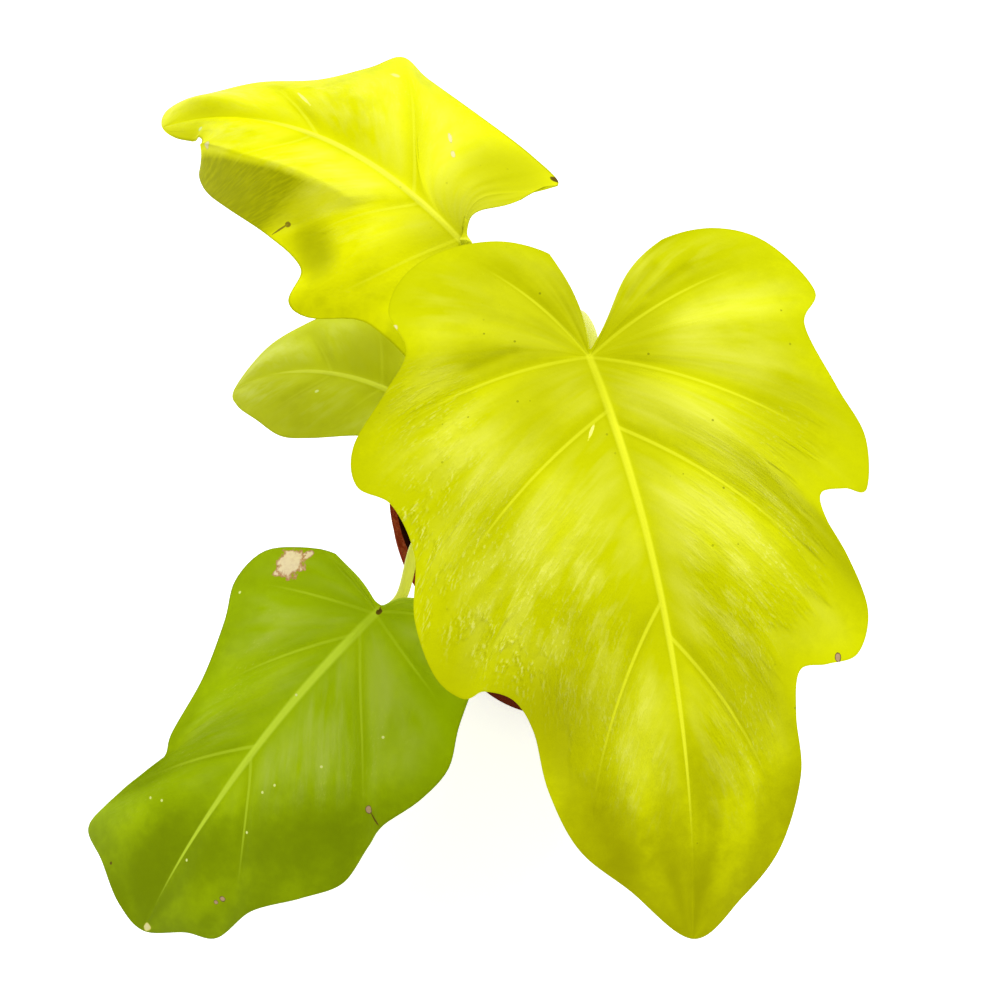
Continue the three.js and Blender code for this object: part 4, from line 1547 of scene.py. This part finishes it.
def tube(
        name: str, route: list[Vector], radius: Callable[[float], float], steps: int, sides: int,
        groove: float
) -> bpy.types.Object:
    """Lays a grooved tube along a smooth line.

    Args:
        name: The piece's name.
        route: Points that the line runs through.
        radius: Gives the radius at a share of the length.
        steps: Rings along the line.
        sides: Points in a ring.
        groove: How deep the channel along its upper side is, as a share of the radius.

    Returns:
        A closed tube with its wrap chart and its along trait.
    """
    curve = smooth_line(route, steps)
    Bench.clear()
    bpy.ops.mesh.primitive_grid_add(x_subdivisions=steps, y_subdivisions=sides, size=2)
    piece = Bench.take(name)
    unit = (Bench.points(piece)[:, :2] + 1) / 2
    points = np.empty((len(unit), 3))
    frames = carried_frames(curve)
    for index, (along, round_share) in enumerate(unit):
        centre, normal, binormal = frames[round(along * steps)]
        angle = 2 * math.pi * round_share
        swell = math.sin(math.pi * min(1, along * GROOVE_RATE)) ** 0.5
        channel = swell * math.exp((math.cos(angle) - 1) / GROOVE_WIDTH)
        size = radius(float(along)) * (1 - groove * channel)
        points[index] = centre + normal * (size * math.cos(angle)) + binormal * (size * math.sin(angle))
    Bench.shape(piece, points)
    Bench.chart(piece, "wrap", unit[:, ::-1])
    Bench.trait(piece, "along", unit[:, 0])
    with Bench.editing(piece):
        bpy.ops.mesh.remove_doubles(threshold=0.001 * MM)
        bpy.ops.mesh.select_all(action="DESELECT")
        bpy.ops.mesh.select_mode(type="EDGE")
        bpy.ops.mesh.select_non_manifold()
        bpy.ops.mesh.fill_holes(sides=0)
        bpy.ops.mesh.select_all(action="SELECT")
        bpy.ops.mesh.fill_holes(sides=0)
        bpy.ops.mesh.normals_make_consistent(inside=False)
        bpy.ops.mesh.select_mode(type="VERT")
    Bench.smooth(piece, degrees=50)
    return piece


def smooth_line(route: list[Vector], steps: int) -> list[Vector]:
    """Evenly spaced points on a smooth line through the route.

    Args:
        route: The points that it runs through.
        steps: The number of steps along it.

    Returns:
        One point more than there are steps.
    """
    rows = np.array(route, float)
    rows = np.vstack([2 * rows[0] - rows[1], rows, 2 * rows[-1] - rows[-2]])
    fine = []
    for start in range(len(route) - 1):
        a, b, c, d = rows[start:start + 4]
        steps_between = [math.sqrt(math.dist(p, q)) for p, q in ((a, b), (b, c), (c, d))]
        t0, t1, t2, t3 = np.cumsum([0, *steps_between])
        for t in np.linspace(t1, t2, SPAN_POINTS, endpoint=False):
            ab, bc, cd = between(a, b, t0, t1, t), between(b, c, t1, t2, t), between(c, d, t2, t3, t)
            fine.append(between(between(ab, bc, t0, t2, t), between(bc, cd, t1, t3, t), t1, t2, t))
    fine.append(rows[-2])
    fine = np.array(fine)
    lengths = np.concatenate([[0], np.cumsum(np.linalg.norm(np.diff(fine, axis=0), axis=1))])
    wanted = np.linspace(0, lengths[-1], steps + 1)
    return [Vector([np.interp(at, lengths, fine[:, axis]) for axis in range(3)]) for at in wanted]


def between(first: np.ndarray, last: np.ndarray, start: float, stop: float, at: float) -> np.ndarray:
    """The point reached at a moment, on the way from first at the start to last at the stop."""
    return first + (last - first) * ((at - start) / (stop - start))


def carried_frames(curve: list[Vector]) -> list[tuple[Vector, Vector, Vector]]:
    """A centre, an upper direction and a side direction for each point of a line, without twist.

    Args:
        curve: The line's points, from the stem outwards.

    Returns:
        One triple for each point.
    """
    frames = []
    reach = curve[-1] - curve[0]
    upper = Vector((-reach.x, -reach.y, 0))
    for index, centre in enumerate(curve):
        ahead = (curve[min(index + 1, len(curve) - 1)] - curve[max(index - 1, 0)]).normalized()
        upper = (upper - ahead * upper.dot(ahead)).normalized()
        frames.append((centre, upper, ahead.cross(upper)))
    return frames


@dataclass(frozen=True)
class Stem:
    """The short stem, in millimetres."""

    radius: float = 6.5
    foot_radius: float = 4.6
    tip_radius: float = 3.6
    bottom: float = 48
    foot_height: float = 8
    foot_round: float = 1
    shoulder: tuple[float, float] = (1.6, 2.2)
    top: float = 110
    ring_pitch: float = 6
    ring_height: float = 0.5
    sides: int = 64
    finish: BarkFinish = BarkFinish()

    def build(self) -> bpy.types.Object:
        """Spins the ringed outline about the stem's axis.

        Returns:
            The stem, with its rings as a trait.
        """
        rows = [
            (0, self.bottom, 0), (self.foot_radius - self.foot_round, self.bottom, 0),
            (self.foot_radius, self.bottom + self.foot_round, 0)]
        height = self.bottom + self.foot_height
        while height <= self.top - self.ring_pitch:
            third = self.ring_pitch / 3
            rows += [
                (self.radius, height, 0), (self.radius + self.ring_height, height + third, 1),
                (self.radius + self.ring_height * 0.7, height + third * 1.5, 1),
                (self.radius, height + third * 2, 0)]
            height += self.ring_pitch
        wider, lower = self.shoulder
        rows += [
            (self.tip_radius + wider, self.top - lower, 0), (self.tip_radius, self.top, 0),
            (0, self.top, 0)]
        piece = spun("short_stem", [row[:2] for row in rows], self.sides)
        heights = np.array([row[1] for row in rows[1:-1]])
        rings = np.array([row[2] for row in rows[1:-1]], float)
        points = Bench.points(piece)
        Bench.trait(piece, "ring", np.interp(points[:, 2] / MM, heights, rings))
        return piece

    def dress(self, piece: bpy.types.Object) -> None:
        """Gives the stem its bark and its place."""
        Bench.settle(piece, "stem", "stem_skin", self.finish.material("stem_bark"))


def spun(name: str, profile: list[Row], sides: int) -> bpy.types.Object:
    """Spins an outline of (radius, height) rows in millimetres about the vertical axis.

    Args:
        name: The piece's name.
        profile: The rows, from the axis to the axis.
        sides: Steps in the turn.

    Returns:
        A closed piece with its faces outwards.
    """
    Bench.clear()
    bpy.ops.mesh.primitive_grid_add(x_subdivisions=len(profile) - 1, y_subdivisions=1, size=1)
    piece = Bench.take(name)
    points = Bench.points(piece)
    order = np.rint((points[:, 0] + 0.5) * (len(profile) - 1)).astype(int)
    radii, heights = np.array(profile, float).T * MM
    Bench.shape(piece, np.column_stack([radii[order], np.zeros(len(points)), heights[order]]))
    with Bench.editing(piece):
        bpy.ops.mesh.remove_doubles(threshold=0.001 * MM)
        bpy.ops.mesh.delete(type="ONLY_FACE")
        bpy.ops.mesh.select_all(action="SELECT")
        bpy.ops.mesh.spin(steps=sides, angle=2 * math.pi, center=(0, 0, 0), axis=(0, 0, 1))
        bpy.ops.mesh.select_all(action="SELECT")
        bpy.ops.mesh.remove_doubles(threshold=0.001 * MM)
        bpy.ops.mesh.normals_make_consistent(inside=False)
    Bench.smooth(piece, degrees=35)
    return piece


@dataclass(frozen=True)
class Cataphyll:
    """The pointed sheath round the next leaf, in millimetres."""

    base: float = 110.3
    length: float = 38
    radius: float = 3.2
    tip_radius: float = 0.35
    lean: tuple[float, float] = (-3.2, -4.2)
    steps: int = 40
    sides: int = 32
    groove: float = 0.3
    finish: StalkFinish = StalkFinish(
        body=tone(186, 186, 84), base=tone(170, 160, 84), top=tone(150, 112, 60),
        streak=tone(206, 204, 112))

    def size(self, share: float) -> float:
        """The radius at a share of the height: swelling above the base and running out to the point."""
        swelling = math.sqrt(max(0.0, 1 - share)) * (1 + 0.4 * share)
        return (self.tip_radius + (self.radius - self.tip_radius) * swelling) * MM

    def build(self) -> bpy.types.Object:
        """Models the sheath from a tube with a seam down its side.

        Returns:
            The sheath.
        """
        route = []
        for share in (0, 0.25, 0.5, 0.75, 1):
            across = [reach * share**2 for reach in self.lean]
            route.append(Vector((*across, self.base + self.length * share)) * MM)
        return tube("sheath", route, self.size, self.steps, self.sides, self.groove)

    def dress(self, piece: bpy.types.Object) -> None:
        """Gives the sheath its finish and its place."""
        Bench.settle(piece, "cataphyll", "sheath_skin", self.finish.material("sheath_skin"))


# Pot and soil


@dataclass(frozen=True)
class Pot:
    """The round nursery pot, in millimetres.

    Its plastic is worn for a height at the rim and at the band's step. The dark coat up its inside, partly
    soil and partly painted shade, fades over a height, to an end that would lie above the rim.
    """

    height: float = 105
    rim_radius: float = 60
    rim_thickness: float = 2.4
    band_height: float = 15
    rim_step: float = 1.8
    base_radius: float = 41.7
    wall: float = 1.8
    floor: float = 2.2
    edge_round: float = 0.8
    sides: int = 144
    drain_holes: int = 6
    drain_radius: float = 4.5
    drain_circle: float = 27
    drain_sides: int = 40
    rim_wear: float = 0.9
    step_wear: float = 0.8
    smear_and_shade_end: float = 125.1
    smear_and_shade_fade: float = 22
    finish: PotFinish = PotFinish()

    def wall_radius(self, height: float) -> float:
        """The wall's outer radius at a height."""
        top = self.rim_radius - self.rim_step
        return self.base_radius + (top - self.base_radius) * height / self.height

    def profile(self) -> list[Row]:
        """The outline of the wall, up the outside, over the rim and down the inside.

        Returns:
            (radius, height) rows from the axis to the axis.
        """
        band, turn = self.height - self.band_height, self.edge_round
        lip = self.rim_thickness / 4
        rows = [(0, 0), (self.base_radius - 2 * turn, 0), (self.base_radius - turn, 0)]
        rows += self.corner(self.base_radius - turn, turn, turn, -90, 0)
        rows += [(self.wall_radius(band * share), band * share) for share in (0.3, 0.6, 0.97)]
        rows += [(self.wall_radius(band) + 0.15, band - 0.1)]
        rows += self.corner(self.rim_radius - 2 * turn, band + turn, turn, -80, 0)
        rows += [(self.rim_radius - turn * 0.6, band + 4), (self.rim_radius - 0.2, self.height - 4)]
        rows += self.corner(self.rim_radius - lip, self.height - lip, lip, 0, 90)
        inner = self.rim_radius - self.rim_thickness
        rows += self.corner(inner + lip, self.height - lip, lip, 90, 180)
        rows += [(self.wall_radius(band * share) - self.wall, band * share) for share in (1, 0.5)]
        rows += [(self.wall_radius(self.floor) - self.wall, self.floor + 1)]
        rows += [(self.wall_radius(self.floor) - self.wall - 1, self.floor), (0, self.floor)]
        return rows

    @staticmethod
    def corner(x: float, z: float, radius: float, start: float, stop: float) -> list[Row]:
        """Rows round a rounded corner, from one angle to another in degrees."""
        angles = [math.radians(start + (stop - start) * step / 4) for step in range(5)]
        return [(x + radius * math.cos(angle), z + radius * math.sin(angle)) for angle in angles]

    def build(self) -> bpy.types.Object:
        """Spins the wall and cuts the drain holes.

        Returns:
            The pot, with its wear, its inside, which takes soil and painted shade, and the wall below its
            band, which takes painted shade, as traits.
        """
        piece = spun("nursery_pot", self.profile(), self.sides)
        drills = []
        for index in range(self.drain_holes):
            angle = 2 * math.pi * (index + 0.5) / self.drain_holes
            x, y = self.drain_circle * math.cos(angle), self.drain_circle * math.sin(angle)
            Bench.clear()
            bpy.ops.mesh.primitive_cylinder_add(
                vertices=self.drain_sides, radius=self.drain_radius * MM, depth=4 * self.floor * MM,
                location=(x * MM, y * MM, 0))
            drills.append(Bench.take(f"drill_{index}"))
        for drill in drills:
            Bench.applied(piece, "BOOLEAN", operation="DIFFERENCE", solver="EXACT", object=drill)
            bpy.data.objects.remove(drill)
        points = Bench.points(piece) / MM
        radius, height = np.hypot(points[:, 0], points[:, 1]), points[:, 2]
        top = np.exp(-((height - self.height) / self.rim_wear) ** 2)
        band = self.height - self.band_height
        step = np.exp(-((height - band) / self.step_wear) ** 2) * (radius > self.wall_radius(band) - 0.4)
        Bench.trait(piece, "wear", np.maximum(top, step))
        inner_top = self.rim_radius - self.rim_thickness + 0.1
        inner = np.interp(height, (0, self.height), (self.base_radius, inner_top))
        inside = (radius < inner) & (height > self.floor * 0.9)
        # The inside's dark coat, partly soil and partly painted shade, fades over a height
        smear_and_shade = np.clip((self.smear_and_shade_end - height) / self.smear_and_shade_fade, 0, 1)
        Bench.trait(piece, "inside", inside * smear_and_shade)
        # The wall below the band, which the finish darkens as painted shade
        Bench.trait(piece, "below", (height < band - 0.2) * (1 - inside))
        Bench.smooth(piece, degrees=32)
        return piece

    def dress(self, piece: bpy.types.Object) -> None:
        """Gives the pot its plastic and its place."""
        Bench.settle(piece, "pot", "pot_plastic", self.finish.material("pot_plastic"))


@dataclass(frozen=True)
class Soil:
    """The potting mix that fills the pot, in millimetres.

    A wave row is (height, turn for each step in x, turn for each step in y, start). The ranges give the
    crumbs' sizes and how flat they are.
    """

    pot: Pot
    level: float = 91
    mound: float = 2.5
    gap: float = 0.3
    cells: int = 120
    crumbs: int = 420
    seed: int = 7
    waves: tuple[Row, ...] = ((0.55, 0.31, 0.27, 0.9), (0.55, 0.31, -0.27, 1.7), (0.55, 0.63, -0.55, 0))
    grain_pitch: float = 5
    grain_height: float = 0.7
    bark_share: float = 0.22
    bark_ranges: tuple[Row, Row] = ((0.9, 1.9), (0.3, 0.6))
    peat_ranges: tuple[Row, Row] = ((0.45, 1.2), (0.6, 0.95))
    finish: SoilFinish = SoilFinish()

    def surface(self, x: float, y: float) -> float:
        """The height of the soil's top: a low mound with clods and crumbs.

        Args:
            x: The place across the pot.
            y: The place along the pot.

        Returns:
            The height.
        """
        share = math.hypot(x, y) / self.pot.rim_radius
        clods = sum(
            size * math.sin(per_x * x + per_y * y + start) for size, per_x, per_y, start in self.waves)
        fine = self.grain_height * noise.fractal(Vector((x, y, 0)) / self.grain_pitch, 0.8, 2.1, 4)
        return self.level + self.mound * (1 - share) ** 2 + clods * (1 - share) + fine

    def build(self) -> bpy.types.Object:
        """Models the soil from a grid rounded to a disc, drawn down to the pot's floor, with crumbs on top.

        Returns:
            The soil, with its bark crumbs as a trait.
        """
        top = self.pot.wall_radius(self.level) - self.pot.wall - self.gap
        bottom = self.pot.wall_radius(self.pot.floor) - self.pot.wall - self.gap
        Bench.clear()
        bpy.ops.mesh.primitive_grid_add(x_subdivisions=self.cells, y_subdivisions=self.cells, size=2)
        piece = Bench.take("potting_soil")
        unit = Bench.points(piece)[:, :2]
        across = unit[:, 0] * np.sqrt(1 - unit[:, 1] ** 2 / 2) * top
        along = unit[:, 1] * np.sqrt(1 - unit[:, 0] ** 2 / 2) * top
        heights = np.array([self.surface(x, y) for x, y in zip(across, along)])
        Bench.shape(piece, np.column_stack([across, along, heights]) * MM)
        floor = (self.pot.floor + self.gap) * MM
        with Bench.editing(piece):
            bpy.ops.mesh.select_all(action="DESELECT")
            bpy.ops.mesh.select_mode(type="EDGE")
            bpy.ops.mesh.select_non_manifold()
            drop = (0, 0, -self.level * MM / 2)
            bpy.ops.mesh.extrude_region_move(TRANSFORM_OT_translate={"value": drop})
            narrowing = (bottom / top, bottom / top, 0)
            bpy.ops.transform.resize(value=narrowing, center_override=(0, 0, floor))
            bpy.ops.mesh.edge_face_add()
            bpy.ops.mesh.select_all(action="SELECT")
            bpy.ops.mesh.normals_make_consistent(inside=False)
            bpy.ops.mesh.select_mode(type="VERT")
        Bench.trait(piece, "bark", np.zeros(len(piece.data.vertices)))
        self.scatter(piece, top - 3)
        Bench.smooth(piece, degrees=40)
        return piece

    def scatter(self, piece: bpy.types.Object, reach: float) -> None:
        """Joins crumbs of peat and bark to the soil's top.

        Args:
            piece: The soil.
            reach: How far from the middle they lie.
        """
        draw = random.Random(self.seed)
        chunks = []
        for index in range(self.crumbs):
            radius, angle = reach * math.sqrt(draw.random()), draw.uniform(0, 2 * math.pi)
            x, y = radius * math.cos(angle), radius * math.sin(angle)
            is_bark = draw.random() < self.bark_share
            sizes, flatness = self.bark_ranges if is_bark else self.peat_ranges
            size = draw.uniform(*sizes)
            flat = draw.uniform(*flatness)
            Bench.clear()
            bpy.ops.mesh.primitive_ico_sphere_add(
                subdivisions=2 if size > 1 else 1, radius=size * MM,
                location=(x * MM, y * MM, (self.surface(x, y) + size * flat * 0.3) * MM),
                rotation=(draw.uniform(-0.4, 0.4), draw.uniform(-0.4, 0.4), draw.uniform(0, 6)),
                scale=(draw.uniform(1, 1.7), 1, flat))
            chunk = Bench.take(f"crumb_{index}")
            points = Bench.points(chunk)
            for row in points:
                row *= 1 + 0.45 * noise.noise(Vector(row) / MM * 0.9 + Vector((index, 0, 0)))
            Bench.shape(chunk, points)
            Bench.trait(chunk, "bark", np.full(len(points), float(is_bark)))
            chunks.append(chunk)
        Bench.clear()
        for chunk in chunks:
            chunk.select_set(True)
        piece.select_set(True)
        bpy.context.view_layer.objects.active = piece
        bpy.ops.object.join()

    def dress(self, piece: bpy.types.Object) -> None:
        """Gives the soil its finish and its place."""
        Bench.settle(piece, "soil", "potting_soil", self.finish.material("potting_soil"))


# Studio


@dataclass(frozen=True)
class Studio:
    """The floor, the light and the camera at the photograph's angle."""

    elevation: float = 62.0
    distance: float = 0.7
    focal_pixels: float = 2016.0
    image_pixels: float = 1000.0
    rim_pixel: tuple[float, float] = (562.0, 491.0)
    sensor: float = 36.0
    rim_height: float = 0.105
    sky_strength: float = 0.66
    key_strength: float = 2.15
    key_azimuth: float = 76.0
    key_elevation: float = 47.0
    key_softness: float = 36.0
    floor_glow: float = 0.6
    floor_size: float = 6.0

    def place_camera(self) -> None:
        """Puts the camera where the pot's rim falls on its pixel of the photograph."""
        tilt = math.radians(self.elevation)
        ahead = Vector((0, math.cos(tilt), -math.sin(tilt)))
        upward = Vector((0, math.sin(tilt), math.cos(tilt)))
        right = Vector((1, 0, 0))
        scale = self.distance / self.focal_pixels
        across = (self.rim_pixel[0] - self.image_pixels / 2) * scale
        above = (self.image_pixels / 2 - self.rim_pixel[1]) * scale
        rim = Vector((0, 0, self.rim_height))
        place = rim - ahead * self.distance - right * across - upward * above
        turn = (math.radians(90) - tilt, 0, 0)
        bpy.ops.object.camera_add(location=place, rotation=turn)
        camera = bpy.context.object
        camera.data.sensor_width = self.sensor
        camera.data.lens = self.focal_pixels / self.image_pixels * self.sensor
        bpy.context.scene.camera = camera

    def light(self) -> None:
        """Lights the scene with a white sky and one soft key."""
        world = bpy.data.worlds.new("studio_sky")
        world.use_nodes = True
        sky = world.node_tree.nodes["Background"]
        sky.inputs["Color"].default_value = (1, 1, 1, 1)
        sky.inputs["Strength"].default_value = self.sky_strength
        bpy.context.scene.world = world
        turn = (math.radians(90 - self.key_elevation), 0, math.radians(self.key_azimuth + 90))
        bpy.ops.object.light_add(type="SUN", location=(0, 0, 1), rotation=turn)
        key = bpy.context.object
        key.data.energy = self.key_strength
        key.data.angle = math.radians(self.key_softness)
        view = bpy.context.scene.view_settings
        view.view_transform = "Standard"

    def lay_floor(self) -> None:
        """Lays a wide, pale floor."""
        Bench.clear()
        bpy.ops.mesh.primitive_plane_add(size=self.floor_size)
        floor = Bench.take("floor")
        graph = Graph("pale_floor")
        haze = graph.grain(graph.place(), 3.0)
        colour = graph.blend(haze, tone(246, 246, 246), tone(250, 250, 250))
        white = (1, 1, 1, 1)
        floor.data.materials.append(graph.surface(
            Base_Color=colour, Roughness=0.8, Emission_Color=white, Emission_Strength=self.floor_glow))
        floor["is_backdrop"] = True


STALK_YELLOW = StalkFinish(
    body=tone(200, 202, 78), base=tone(214, 214, 120), top=tone(186, 168, 64), streak=tone(190, 196, 60))
STALK_GREEN = StalkFinish(
    body=tone(226, 230, 84), base=tone(214, 216, 120), top=tone(170, 152, 50), streak=tone(206, 214, 66))

STALKS = (
    Stalk(
        key="front", route=((3.5, 2.5, 104), (7, 8, 114), (7, 17, 145), (3, 19, 185)),
        approach=(-7, 2.7, -10), radii=(3.8, 2.2), finish=STALK_YELLOW),
    Stalk(
        key="far", route=((-1, 3, 104), (-4, 9.5, 113), (-11, 16, 136), (-20, 24, 170)),
        approach=(-7, 1, -8), radii=(3.6, 2), finish=STALK_YELLOW),
    Stalk(
        key="small", route=((-3, 1, 100), (-10, 3, 103), (-24, 9, 113), (-39, 14, 124)),
        approach=(-6, 0, -4), radii=(2.8, 1.3), finish=STALK_GREEN),
    Stalk(
        key="low", route=((-2, -2, 99), (-9, -7, 104), (-28, -16, 117), (-47, -29, 128)),
        approach=(-6, 2, -5), radii=(3.6, 1.9), finish=STALK_GREEN),
)
BLADES = (
    Blade(key="front", slot="lime_leaf", columns=300, rows=66, seed=0),
    Blade(key="far", slot="yellow_leaf", columns=260, rows=54, seed=13),
    Blade(key="small", slot="olive_leaf", columns=160, rows=34, seed=26),
    Blade(key="low", slot="green_leaf", columns=260, rows=56, seed=39),
)


def write_sizes() -> None:
    """Works out the frame's box and the finished model's box as plain lists."""
    boxes = {"frame": FRAME_BOX, "visual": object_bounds()}
    plain = {name: [list(corner) for corner in box] for name, box in boxes.items()}


def main() -> None:
    """Builds and dresses every piece, then sets up the studio."""
    logging.basicConfig(level=logging.INFO, format="%(message)s")
    pot = Pot()
    for part in (pot, Soil(pot), Stem(), Cataphyll(), *STALKS, *BLADES):
        part.dress(part.build())
    studio = Studio()
    studio.place_camera()
    studio.light()
    studio.lay_floor()
    write_sizes()


if __name__ == "__main__":
    main()
